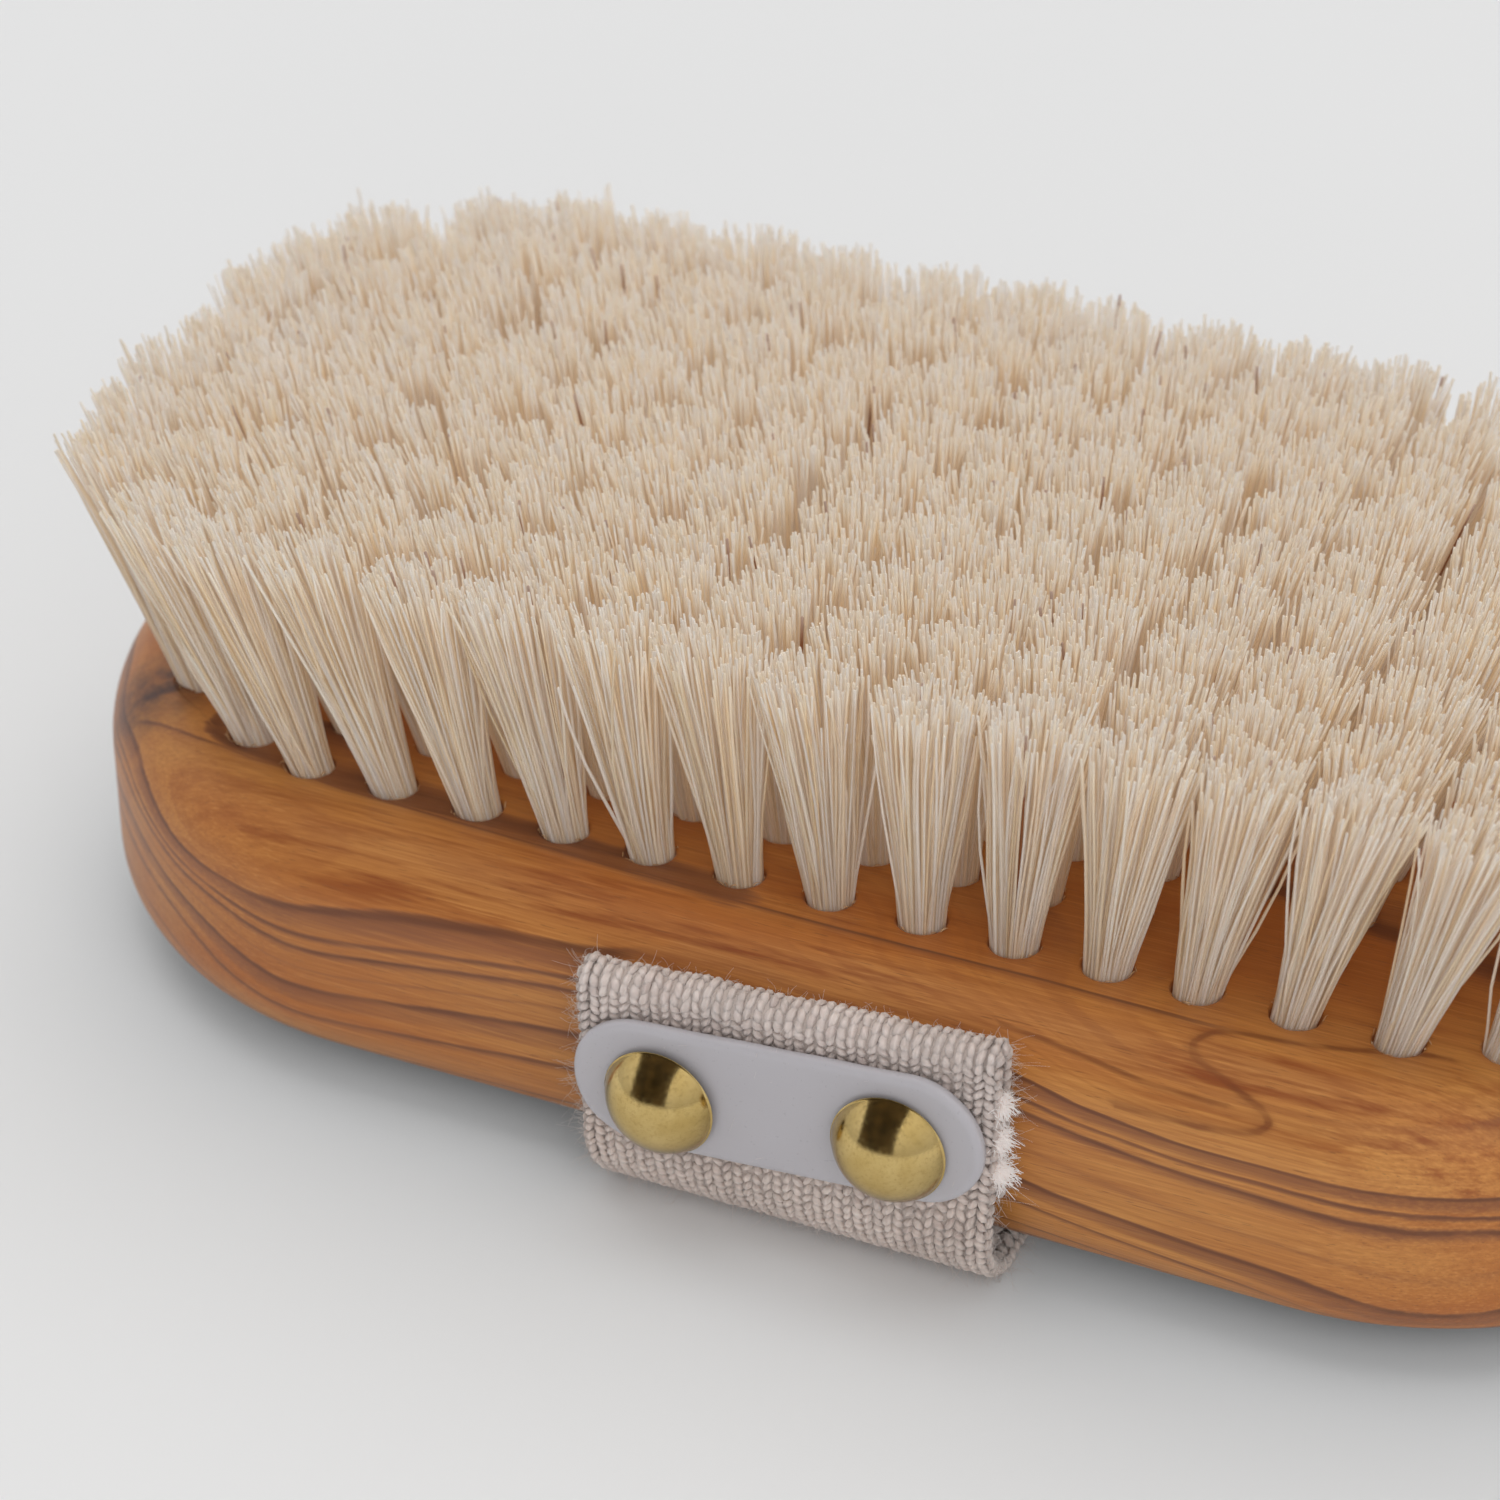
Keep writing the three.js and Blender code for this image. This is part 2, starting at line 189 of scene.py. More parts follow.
def fibres(paths, radii, phase=0.0):
    """Closed three-sided tubes. paths: (n, k, 3), radii: (n, k). Returns verts, quads, tris."""
    count, rings, _ = paths.shape
    along = unit(np.gradient(paths, axis=1), 1e-12)
    steep = np.abs(along[..., 2:3]) >= 0.8
    helper = np.where(steep, np.array([1.0, 0, 0]), np.array([0, 0, 1.0]))
    across = unit(np.cross(along, helper), 1e-12)[:, :, None, :]
    other = np.cross(along, across[:, :, 0])[:, :, None, :]
    angle = np.broadcast_to(phase, count)[:, None] + np.arange(3) * 2 * np.pi / 3
    angle = angle[:, None, :, None]
    spokes = across * np.cos(angle) + other * np.sin(angle)
    verts = (paths[:, :, None, :] + radii[:, :, None, None] * spokes).reshape(-1, 3)
    start = (np.arange(count) * rings * 3)[:, None]
    end_caps = start + (rings - 1) * 3 + np.array([0, 2, 1])
    tris = np.concatenate([end_caps, start + np.array([0, 1, 2])])
    return verts, ring_quads(rings, 3, count)[:, REVERSED], tris


# ---------------------------------------------------------------- node helpers
class NodeTree:
    """Short calls that add shader nodes and return the output to use next."""

    def __init__(self, tree):
        self.tree = tree
        self.place = None

    def put(self, socket, value):
        if isinstance(value, bpy.types.NodeSocket):
            self.tree.links.new(value, socket)
            return
        if socket.type == "RGBA" and len(value) == 3:
            value = (*value, 1)
        socket.default_value = value

    def add(self, kind, *inputs, **settings):
        """A node with its first inputs filled in order."""
        node = self.tree.nodes.new("ShaderNode" + kind)
        for key, value in settings.items():
            setattr(node, key, value)
        for socket, value in zip(node.inputs, inputs):
            self.put(socket, value)
        return node

    def make(self, kind, **inputs):
        """First output of a node whose inputs are given by name, with _ for a space."""
        node = self.add(kind)
        for key, value in inputs.items():
            self.put(node.inputs[key.replace("_", " ")], value)
        return node.outputs[0]

    def math(self, operation, *values):
        return self.add("Math", *values, operation=operation).outputs[0]

    def plus(self, a, b):
        return self.math("ADD", a, b)

    def minus(self, a, b):
        return self.math("SUBTRACT", a, b)

    def mul(self, a, b):
        return self.math("MULTIPLY", a, b)

    def maximum(self, a, b):
        return self.math("MAXIMUM", a, b)

    def attribute(self, name, output="Fac"):
        node = self.add("Attribute", attribute_name=name, attribute_type="GEOMETRY")
        return node.outputs[output]

    def position(self):
        """Object position in mm."""
        if self.place is None:
            source = self.add("TexCoord").outputs["Object"]
            node = self.add("VectorMath", source, operation="SCALE")
            self.put(node.inputs["Scale"], 1000.0)
            self.place = node.outputs[0]
        return self.place

    def coordinate(self, axis):
        return self.add("SeparateXYZ", self.position()).outputs[axis]

    def noise(self, scale=1.0, detail=2.0, roughness=0.5, stretch=None, offset=(0, 0, 0),
              over=None):
        """Noise over the position, stretched if asked, or over the single value `over`."""
        if over is not None:
            node = self.add("TexNoise", noise_dimensions="1D")
            self.put(node.inputs["W"], over)
        else:
            place = self.position()
            if stretch is not None:
                place = self.add("VectorMath", place, stretch, offset,
                                 operation="MULTIPLY_ADD").outputs[0]
            node = self.add("TexNoise", noise_dimensions="3D")
            self.put(node.inputs["Vector"], place)
        node.inputs["Scale"].default_value = scale
        node.inputs["Detail"].default_value = detail
        node.inputs["Roughness"].default_value = roughness
        return node.outputs["Fac"]

    def swing(self, amount, **noise):
        """Noise centred on zero."""
        return self.mul(self.minus(self.noise(**noise), 0.5), amount)

    def remap(self, value, span, to=(0.0, 1.0)):
        return self.add("MapRange", value, *span, *to).outputs[0]

    def ramp(self, factor, stops):
        """Colour ramp through (position, grey or colour) stops."""
        node = self.add("ValToRGB", factor)
        elements = node.color_ramp.elements
        while len(elements) > 1:
            elements.remove(elements[-1])
        for i, (position, color) in enumerate(stops):
            element = elements.new(position) if i else elements[0]
            element.position = position
            if not hasattr(color, "__len__"):
                color = (color, color, color)
            element.color = (*color, 1)
        return node.outputs[0]

    def mix(self, factor, a, b, blend="MIX"):
        node = self.add("Mix", factor, data_type="RGBA", blend_type=blend, clamp_factor=True)
        self.put(node.inputs[6], a)
        self.put(node.inputs[7], b)
        return node.outputs[2]

    def tinted(self, color, by):
        return self.mix(1.0, color, by, "MULTIPLY")

    def mix_shader(self, share, first, second):
        return self.add("MixShader", share, first, second).outputs[0]


class Material(NodeTree):
    def __init__(self, name):
        self.material = bpy.data.materials.new(name)
        self.material.use_nodes = True
        super().__init__(self.material.node_tree)
        self.tree.nodes.clear()

    def finish(self, surface, lights_others=True):
        self.put(self.add("OutputMaterial").inputs["Surface"], surface)
        if not lights_others:
            self.material.cycles.emission_sampling = "NONE"
        return self.material

    def finish_thin(self, surface, through, through_share, painted_glow):
        """Let light pass, and add a painted glow: an emission that stands in for light scattered
        inside and between the fibres, which thin tubes lack.
        """
        light_through = self.make("BsdfTranslucent", Color=through)
        surface = self.mix_shader(through_share, surface, light_through)
        # painted glow: an emission that lightens the shaded parts of the fibres
        inner = self.make("Emission", Color=painted_glow)
        return self.finish(self.add("AddShader", surface, inner).outputs[0], lights_others=False)


# ---------------------------------------------------------------- materials
# Dark year lines of the wood: (level in the grain field, width, tail below it, darkness).
BOLD_LINES = [(16.5, 0.42, 1.9, 1.0), (9.5, 0.40, 1.7, 0.95), (22.6, 0.4, 1.8, 0.8),
              (1.0, 0.3, 1.4, 0.7), (-3.4, 0.4, 1.3, 0.8)]
THIN_LINES = [(14.4, 0.30, 0.55, 0.9), (13.2, 0.34, 0.85, 0.97), (6.8, 0.24, 0.6, 0.85),
              (3.2, 0.22, 0.6, 0.75)]
OUTER_LINES = [(-1.2, 0.2, 0.5, 0.6), (-5.2, 0.3, 0.6, 0.7), (24.4, 0.25, 0.5, 0.6),
               (26.2, 0.3, 0.8, 0.7), (11.2, 0.12, 0.3, 0.3)]
GRAIN_LEVELS = (-6.0, 30.0)             # the levels that the ramps cover


def year_line_stops(rows):
    """Ramp stops: each line has a sharp upper edge and a softer tail below it."""
    low, high = GRAIN_LEVELS
    stops = []
    for level, width, tail, dark in rows:
        shape = [(-tail, 0.0), (-tail * 0.70, dark * 0.36), (-1.15 * width, dark * 0.50),
                 (-0.55 * width, dark), (-0.05 * width, dark * 0.92), (width * 0.30, 0.0)]
        stops += [((level + step - low) / (high - low), value) for step, value in shape]
    return [(0.0, 0.0)] + sorted(stops)


def wood_material():
    m = Material("olive_wood")
    wander = m.swing(0.55, stretch=(0.030, 0.16, 0.16))
    fine = m.swing(0.34, stretch=(0.10, 1.6, 1.6), offset=(7, 1, 3), detail=4.0, roughness=0.62)
    level = m.plus(m.plus(m.attribute("grain"), wander), fine)
    ramp_place = m.remap(level, span=GRAIN_LEVELS)
    bold, thin, outer = (m.ramp(ramp_place, year_line_stops(rows))
                         for rows in (BOLD_LINES, THIN_LINES, OUTER_LINES))

    def drawn_line(distance, raggedness, reach, stops):
        """A line on the surface, from the attribute that holds the distance to it in mm."""
        ragged = m.plus(m.attribute(distance), m.mul(fine, raggedness))
        return m.ramp(m.remap(ragged, span=(-reach, reach)), stops)

    flame = drawn_line("vee", raggedness=1.4, reach=2.2, stops=[
        (0.30, 0.0), (0.41, 0.30), (0.455, 0.90), (0.525, 0.90), (0.575, 0.20), (0.64, 0.0)])
    flame = m.mul(flame, m.attribute("vee_on"))
    thread = drawn_line("hair", raggedness=1.0, reach=2.2, stops=[
        (0.40, 0.0), (0.47, 0.8), (0.51, 0.8), (0.55, 0.0)])
    thread = m.mul(thread, m.attribute("hair_on"))
    patches = m.noise(stretch=(0.22, 0.8, 0.8), offset=(8, 2, 5))
    flame = m.mul(m.maximum(flame, thread), m.remap(patches, span=(0.38, 0.58), to=(0.55, 1.0)))
    seam = drawn_line("seam", raggedness=0.9, reach=2.0, stops=[
        (0.30, 0.0), (0.44, 0.35), (0.485, 0.95), (0.515, 0.9), (0.545, 0.0)])
    seam = m.mul(m.mul(seam, 0.85), m.attribute("seamk"))
    gaps = m.noise(stretch=(0.05, 0.5, 0.5), offset=(3, 9, 1))
    gaps = m.remap(gaps, span=(0.30, 0.55), to=(0.66, 1.0))
    dark = m.maximum(m.maximum(bold, thin), outer)
    dark = m.mul(dark, m.remap(m.attribute("ink"), span=(0.08, 0.6), to=(0.14, 1.0)))
    dark = m.mul(m.maximum(dark, seam), gaps)

    # faint rings between the dark ones, fibres, and broad patches
    ring = m.remap(m.noise(scale=1.9, roughness=0.55, over=level), span=(0.42, 0.68))
    fibre = m.noise(stretch=(0.10, 5.5, 5.5), detail=5.0, roughness=0.65)
    hair = m.noise(stretch=(0.32, 13.0, 13.0), offset=(5, 2, 8), detail=3.0, roughness=0.6)
    broad = m.noise(stretch=(0.022, 0.085, 0.085), offset=(2, 5, 3))
    honey, amber = (0.640, 0.282, 0.068), (0.53, 0.176, 0.033)
    ring_brown, fibre_brown, fibre_pale = (
        (0.40, 0.125, 0.028), (0.38, 0.110, 0.024), (0.74, 0.36, 0.112))
    color = m.mix(m.remap(broad, span=(0.36, 0.64)), honey, amber)
    color = m.mix(m.mul(ring, 0.34), color, ring_brown)
    color = m.mix(m.remap(fibre, span=(0.42, 0.72), to=(0.0, 0.55)), color, fibre_brown)
    color = m.mix(m.remap(fibre, span=(0.28, 0.44), to=(0.45, 0.0)), color, fibre_pale)
    streak = m.noise(stretch=(0.075, 1.05, 1.05), offset=(11, 4, 6), detail=4.0, roughness=0.62)
    warmth = m.remap(m.attribute("warm"), span=(0, 1), to=(0.18, 0.95))
    streak_red = (0.30, 0.070, 0.011)
    color = m.mix(m.mul(m.remap(streak, span=(0.47, 0.66)), warmth), color, streak_red)
    # darker towards the left end, paler towards the right
    x = m.coordinate("X")
    for span, amount, tint in (((15.0, -55.0), 0.30, (0.74, 0.70, 0.66)),
                               ((20.0, 60.0), 0.35, (1.20, 1.22, 1.22))):
        color = m.mix(m.remap(x, span=span, to=(0.0, amount)), color, m.tinted(color, tint))
    # the broad part of each band is broken into fibres, the line itself is solid
    band = m.mul(m.remap(dark, span=(0.0, 0.42)),
                 m.remap(fibre, span=(0.30, 0.62), to=(0.50, 0.95)))
    band_brown, line_brown, flame_brown = (
        (0.300, 0.104, 0.036), (0.160, 0.052, 0.020), (0.205, 0.052, 0.012))
    color = m.mix(band, color, band_brown)
    color = m.mix(m.remap(dark, span=(0.36, 0.95), to=(0.0, 0.92)), color, line_brown)
    color = m.mix(m.mul(flame, 0.85), color, flame_brown)
    mottle = m.noise(stretch=(0.4, 0.6, 0.6), detail=3.0, roughness=0.6)
    mottle = m.remap(mottle, span=(0.35, 0.6), to=(0.45, 1.0))
    knot_brown, pore_brown = (0.085, 0.036, 0.024), (0.22, 0.075, 0.022)
    color = m.mix(m.mul(m.attribute("knot"), mottle), color, knot_brown)
    # pores: short dark dashes along the grain
    pore = m.noise(stretch=(0.55, 8.5, 8.5), offset=(1, 7, 2), detail=1.0)
    pore = m.remap(pore, span=(0.66, 0.74), to=(0.0, 0.5))
    color = m.mix(pore, color, pore_brown)
    relief = m.minus(m.mul(hair, 0.6), m.mul(pore, 0.9))
    relief = m.plus(relief, m.mul(fibre, 0.6))
    # below z = 20 mm the wood bounces neutral grey light onto its surroundings
    bounce_grey, bounce_top = (0.36, 0.36, 0.36), 20.0
    bounced = m.mul(m.add("LightPath").outputs["Is Diffuse Ray"],
                    m.math("LESS_THAN", m.coordinate("Z"), bounce_top))
    return m.finish(m.make(
        "BsdfPrincipled",
        Base_Color=m.mix(bounced, color, bounce_grey),
        Roughness=m.remap(hair, span=(0.3, 0.7), to=(0.36, 0.52)),
        Normal=m.make("Bump", Height=relief, Strength=0.35, Distance=0.00006),
        Specular_IOR_Level=0.42,
        Coat_Weight=0.10,
        Coat_Roughness=0.30))


def bristle_material():
    m = Material("bristle")
    tint = m.attribute("tint", "Color")
    along = m.attribute("along")
    cloud = m.noise(stretch=(1.2, 1.2, 0.35))
    straw_tint, tip_white, through_tint = (0.96, 0.91, 0.82), (0.97, 0.945, 0.90), (1.0, 0.975, 0.93)
    color = m.mix(m.remap(cloud, span=(0.35, 0.65), to=(0.0, 0.30)), tint, straw_tint, "MULTIPLY")
    color = m.mix(m.remap(along, span=(0.86, 1.0), to=(0.0, 0.5)), color, tip_white)
    surface = m.make("BsdfPrincipled", Base_Color=color, Specular_IOR_Level=0.5,
                     Roughness=m.remap(cloud, span=(0.3, 0.7), to=(0.34, 0.5)))
    # painted glow along the bristle: dimmer at the root, brighter towards the tip
    painted_glow_along = m.ramp(along, [
        (0.0, (0.036, 0.026, 0.022)), (0.45, (0.054, 0.042, 0.036)), (1.0, (0.078, 0.062, 0.056))])
    return m.finish_thin(surface, through=m.tinted(color, through_tint), through_share=0.45,
                         painted_glow=m.tinted(tint, painted_glow_along))


def cotton_material():
    m = Material("webbing")
    turn = m.plus(m.mul(m.attribute("yarn_u"), 9.0), m.mul(m.attribute("yarn_v"), 3.0))
    twist = m.remap(m.math("SINE", turn), span=(-1.0, 1.0))
    fuzz = m.noise(scale=5.5, detail=4.0, roughness=0.7)
    soiling = m.ramp(m.noise(scale=0.22), [(0.3, (0.93, 0.91, 0.90)), (0.7, (1.0, 1.0, 1.0))])
    groove_painted_shade, fuzz_white = (0.62, 0.56, 0.52), (0.86, 0.80, 0.76)
    color = m.tinted(m.attribute("tint", "Color"), soiling)
    # painted shade: darker in the grooves of the yarn's twist
    color = m.mix(m.mul(m.minus(1.0, twist), 0.22), color, m.tinted(color, groove_painted_shade))
    color = m.mix(m.remap(fuzz, span=(0.52, 0.75), to=(0.0, 0.35)), color, fuzz_white)
    relief = m.plus(m.mul(twist, 0.8), fuzz)
    return m.finish(m.make(
        "BsdfPrincipled",
        Base_Color=color,
        Roughness=0.92,
        Normal=m.make("Bump", Height=relief, Strength=0.7, Distance=0.00009),
        Specular_IOR_Level=0.2,
        Sheen_Weight=0.35,
        Sheen_Roughness=0.5,
        Subsurface_Weight=0.15,
        Subsurface_Radius=(1.0, 0.8, 0.7),
        Subsurface_Scale=0.0004))


def fibre_material():
    m = Material("cotton_fibre")
    color = m.ramp(m.noise(scale=0.9), [(0.3, (0.74, 0.66, 0.62)), (0.7, (0.90, 0.85, 0.82))])
    clean_white = (0.97, 0.95, 0.94)
    color = m.mix(m.attribute("white"), color, clean_white)
    surface = m.make("BsdfPrincipled", Base_Color=color, Roughness=0.8, Specular_IOR_Level=0.2)
    # painted glow: an emission that lightens the fibres, stronger on the white frayed ones
    painted_glow_dim, painted_glow_white = (0.02, 0.018, 0.017), (0.12, 0.106, 0.100)
    return m.finish_thin(surface, through=color, through_share=0.4,
                         painted_glow=m.mix(m.attribute("white"), painted_glow_dim, painted_glow_white))


def burr_material():
    m = Material("wood_burr")
    color = m.ramp(m.noise(scale=0.8), [(0.3, (0.62, 0.34, 0.15)), (0.7, (0.82, 0.58, 0.34))])
    return m.finish(m.make("BsdfPrincipled", Base_Color=color, Roughness=0.7))


def plastic_material():
    m = Material("white_plastic")
    waves = m.noise(scale=0.35, detail=3.0, roughness=0.55)
    specks = m.noise(scale=3.0, detail=4.0, roughness=0.6)
    grey, pale_grey = (0.528, 0.507, 0.536), (0.534, 0.514, 0.543)
    relief = m.plus(m.mul(waves, 0.3), m.mul(specks, 0.06))
    return m.finish(m.make(
        "BsdfPrincipled",
        Base_Color=m.mix(m.remap(waves, span=(0.35, 0.65)), grey, pale_grey),
        Roughness=m.remap(specks, span=(0.3, 0.7), to=(0.27, 0.31)),
        Specular_IOR_Level=0.6,
        Normal=m.make("Bump", Height=relief, Strength=0.05, Distance=0.00010),
        Subsurface_Weight=0.12,
        Subsurface_Radius=(1.0, 1.0, 1.0),
        Subsurface_Scale=0.0008))


def brass_material():
    m = Material("brass")
    broad = m.noise(scale=0.5, detail=3.0)
    pitting = m.noise(scale=3.2, detail=4.0, roughness=0.65)
    cells = m.add("TexVoronoi", m.position(), feature="F1")
    cells.inputs["Scale"].default_value = 2.3
    dots = m.remap(cells.outputs["Distance"], span=(0.02, 0.11), to=(1.0, 0.0))
    dots = m.mul(dots, m.remap(broad, span=(0.45, 0.6)))
    brass, bright_brass = (0.57, 0.405, 0.145), (0.68, 0.505, 0.215)
    tarnish, dot_brown, painted_rim_shade = (0.42, 0.285, 0.09), (0.20, 0.125, 0.045), (0.26, 0.17, 0.05)
    color = m.mix(m.remap(broad, span=(0.3, 0.7)), brass, bright_brass)
    color = m.mix(m.remap(pitting, span=(0.50, 0.72), to=(0.0, 0.5)), color, tarnish)
    color = m.mix(m.mul(dots, 0.6), color, dot_brown)
    even_blend = 0.5
    # painted shade and reflection: the dome darkens towards its rim where it turns away from the
    # view
    facing = m.add("LayerWeight", even_blend).outputs["Facing"]
    color = m.mix(m.remap(facing, span=(0.55, 0.95), to=(0.0, 0.75)), color, painted_rim_shade)
    relief = m.minus(m.mul(pitting, 0.5), m.mul(dots, 0.8))
    relief = m.plus(relief, m.mul(broad, 1.2))
    return m.finish(m.make(
        "BsdfPrincipled",
        Base_Color=color,
        Metallic=1.0,
        Roughness=m.remap(pitting, span=(0.38, 0.72), to=(0.11, 0.26)),
        Normal=m.make("Bump", Height=relief, Strength=0.14, Distance=0.00006)))


def floor_material():
    """Pale floor that can't be seen from below."""
    m = Material("floor")
    grey, pale_grey, front_grey = (0.772, 0.774, 0.777), (0.780, 0.782, 0.785), (0.815, 0.817, 0.820)
    color = m.mix(m.remap(m.noise(scale=0.01), span=(0.3, 0.7)), grey, pale_grey)
    color = m.mix(m.remap(m.coordinate("Y"), span=(-60.0, -190.0)), color, front_grey)
    # a faint emission lightens the shadow
    surface = m.make("BsdfPrincipled", Base_Color=color, Roughness=0.9, Specular_IOR_Level=0.1,
                     Emission_Color=(0.98, 0.99, 1.0), Emission_Strength=0.026)
    below = m.add("NewGeometry").outputs["Backfacing"]
    return m.finish(m.mix_shader(below, surface, m.make("BsdfTransparent")), lights_others=False)


WOOD = wood_material()
BRISTLE = bristle_material()
COTTON = cotton_material()
FIBRE = fibre_material()
BURR = burr_material()
PLASTIC = plastic_material()
BRASS = brass_material()


# ---------------------------------------------------------------- wood grain field
# Points (x, y, z) where the year line of each level meets the surface. A level is a height
# in the tree's own layers.
GRAIN = {
    16.5: [
        (-59.5, -26.9, 21.3), (-56.0, -28.0, 21.8), (-50.7, -29.1, 22.0), (-41.9, -30.1, 22.0),
        (-31.9, -30.5, 22.0), (-23.0, -30.9, 22.0), (-11.6, -31.4, 22.0), (-4.9, -31.4, 22.0),
        (-60.9, -27.7, 20.2), (-60.9, -28.8, 19.3), (-59.8, -30.4, 18.6), (-58.0, -32.2, 17.8),
        (-56.3, -33.6, 17.2), (-53.5, -35.4, 16.1), (-48.8, -37.2, 15.7), (-46.1, -37.9, 15.7),
        (-41.3, -38.4, 16.1), (-37.7, -38.3, 16.8), (-32.5, -38.0, 17.8), (-28.3, -37.8, 18.2),
        (-24.0, -37.7, 18.4), (-17.1, -37.7, 18.4), (18.4, -37.9, 17.9), (22.3, -38.2, 17.1),
        (25.5, -38.4, 16.1), (30.2, -38.5, 15.4), (37.1, -38.5, 15.6), (44.5, -38.1, 15.5),
        (48.1, -37.4, 15.4), (54.5, -34.9, 15.5)],
    15.0: [
        (-49.9, -36.9, 14.9), (-46.2, -37.9, 14.0), (-40.5, -38.5, 14.0), (-36.0, -38.5, 14.6),
        (-28.0, -38.5, 15.7), (-18.6, -38.3, 16.9)],
    14.4: [
        (26.3, -38.5, 15.7), (29.5, -38.5, 15.0), (33.4, -38.5, 14.7), (41.0, -38.5, 14.4),
        (48.1, -37.4, 14.2), (54.7, -34.9, 14.1)],
    13.2: [
        (18.7, -38.5, 15.4), (22.5, -38.5, 14.6), (25.6, -38.5, 14.0), (33.4, -38.5, 13.0),
        (41.1, -38.5, 12.7), (48.3, -37.4, 12.5), (54.8, -34.8, 12.9)],
    9.5: [
        (-62.8, -28.9, 14.6), (-60.8, -30.7, 13.7), (-58.8, -32.3, 12.9), (-56.6, -33.8, 12.1),
        (-53.9, -35.2, 11.3), (-50.9, -36.5, 10.3), (-46.6, -37.8, 8.9), (-41.7, -38.4, 8.3),
        (-37.2, -38.5, 8.7), (-28.2, -38.5, 9.9), (-17.3, -38.5, 11.1), (19.1, -38.5, 8.6),
        (25.9, -38.5, 7.6), (33.8, -38.5, 6.9), (41.5, -38.4, 6.4), (45.2, -37.9, 5.4),
        (48.8, -36.9, 4.6), (54.8, -34.5, 4.9)],
    6.8: [
        (-63.4, -28.3, 11.5), (-61.4, -30.2, 10.8), (-59.2, -32.0, 10.3), (-55.5, -34.4, 9.3),
        (-52.4, -35.9, 8.0), (-47.9, -37.4, 6.3), (-43.9, -38.1, 5.5), (-37.4, -38.4, 5.7),
        (-28.4, -38.5, 6.5), (-17.7, -38.5, 7.5)],
    3.2: [
        (-56.6, -33.7, 6.4), (-50.8, -35.9, 4.0), (-44.7, -37.0, 3.1), (-38.4, -36.9, 2.4),
        (-27.3, -37.4, 3.0), (-18.4, -37.6, 3.4), (17.9, -38.1, 4.4), (21.9, -37.8, 3.8),
        (25.8, -37.5, 3.2), (33.4, -36.5, 2.0)],
}
# Two lines drawn on the front shoulder, right of the strap: (x, y, z).
THREAD_LINE = [(16.6, -36.0, 20.5), (21.4, -36.4, 20.2), (28.8, -37.1, 19.3), (34.9, -37.1, 19.3)]
FLAME_LINE = [
    (48.5, -28.6, 22.0), (45.1, -29.5, 22.0), (41.7, -30.7, 22.0), (38.1, -31.5, 22.0),
    (34.4, -31.9, 22.0), (32.0, -32.5, 21.9), (30.9, -33.7, 21.7), (31.0, -34.8, 21.3),
    (32.7, -35.5, 20.9), (34.5, -36.1, 20.4), (36.2, -36.6, 19.9), (37.5, -37.0, 19.5),
    (38.1, -37.4, 18.9), (37.6, -37.8, 18.2), (36.0, -38.0, 17.8), (33.1, -38.1, 17.4),
    (29.2, -38.1, 17.4), (26.1, -38.1, 17.5)]
# One long thin line along the front of the drilled holes: x and y.
SEAM_X = [-66, -59.5, -56, -50.7, -47.8, -41.9, -36.4, -31.9, -23, -11.6, 5, 18, 30, 36]
SEAM_Y = [-24.5, -26.9, -28, -29.1, -29.3, -30.1, -30.3, -30.6, -31.0, -31.5, -31.7, -31.6,
          -31.9, -31.8]
# Knots: x, y, z, radius.
KNOTS = [(-63.5, -22.4, 21.0, 4.6), (44.0, 36.5, 12.0, 3.4), (-30.0, 14.0, 0.0, 4.2),
         (71.0, 12.0, 11.0, 2.6)]
# Reddish areas: x, y, z, then their reach along x, y and z.
WARM = [(-36, -36, 20.5, 15, 5, 4), (-14, -35, 20.8, 12, 5, 4), (4, -34, 21.5, 12, 5, 3),
        (31, -34, 21.5, 4.5, 3, 3), (40, -34, 20.0, 12, 5, 4), (55, -31, 17, 9, 8, 5),
        (20, 35, 19, 20, 6, 5), (-45, 33, 16, 14, 8, 6), (10, 5, 0, 30, 9, 4),
        (-70, 5, 14, 6, 12, 6)]
GRAIN_REACH = 11.0                      # how far a control point bends the layers
NEAR_REACH = 2.8                        # how far from a control point a line stays dark
CONTROL_STEP = 3.2                      # control points are added this far apart,
CONTROL_GAP = 13                        # but not across gaps this long


def drift(points):
    """Slow waves of the layers, stronger away from the front side."""
    x, y, _ = points.T
    off_front = 1 / (1 + np.exp(-(y + 19.0) / 2.8))
    return (-1.3 + 1.6 * np.sin(x / 33.0 + 0.9)
            + 2.6 * np.cos(y / 19.0 + 0.9 + x / 75.0) * (0.3 + 0.7 * off_front)
            + 1.3 * np.sin(x / 17.0 - y / 23.0 + 2.0) * off_front
            - 4.0 * np.exp(-((y - 8 + 0.12 * x) / 13.0) ** 2))


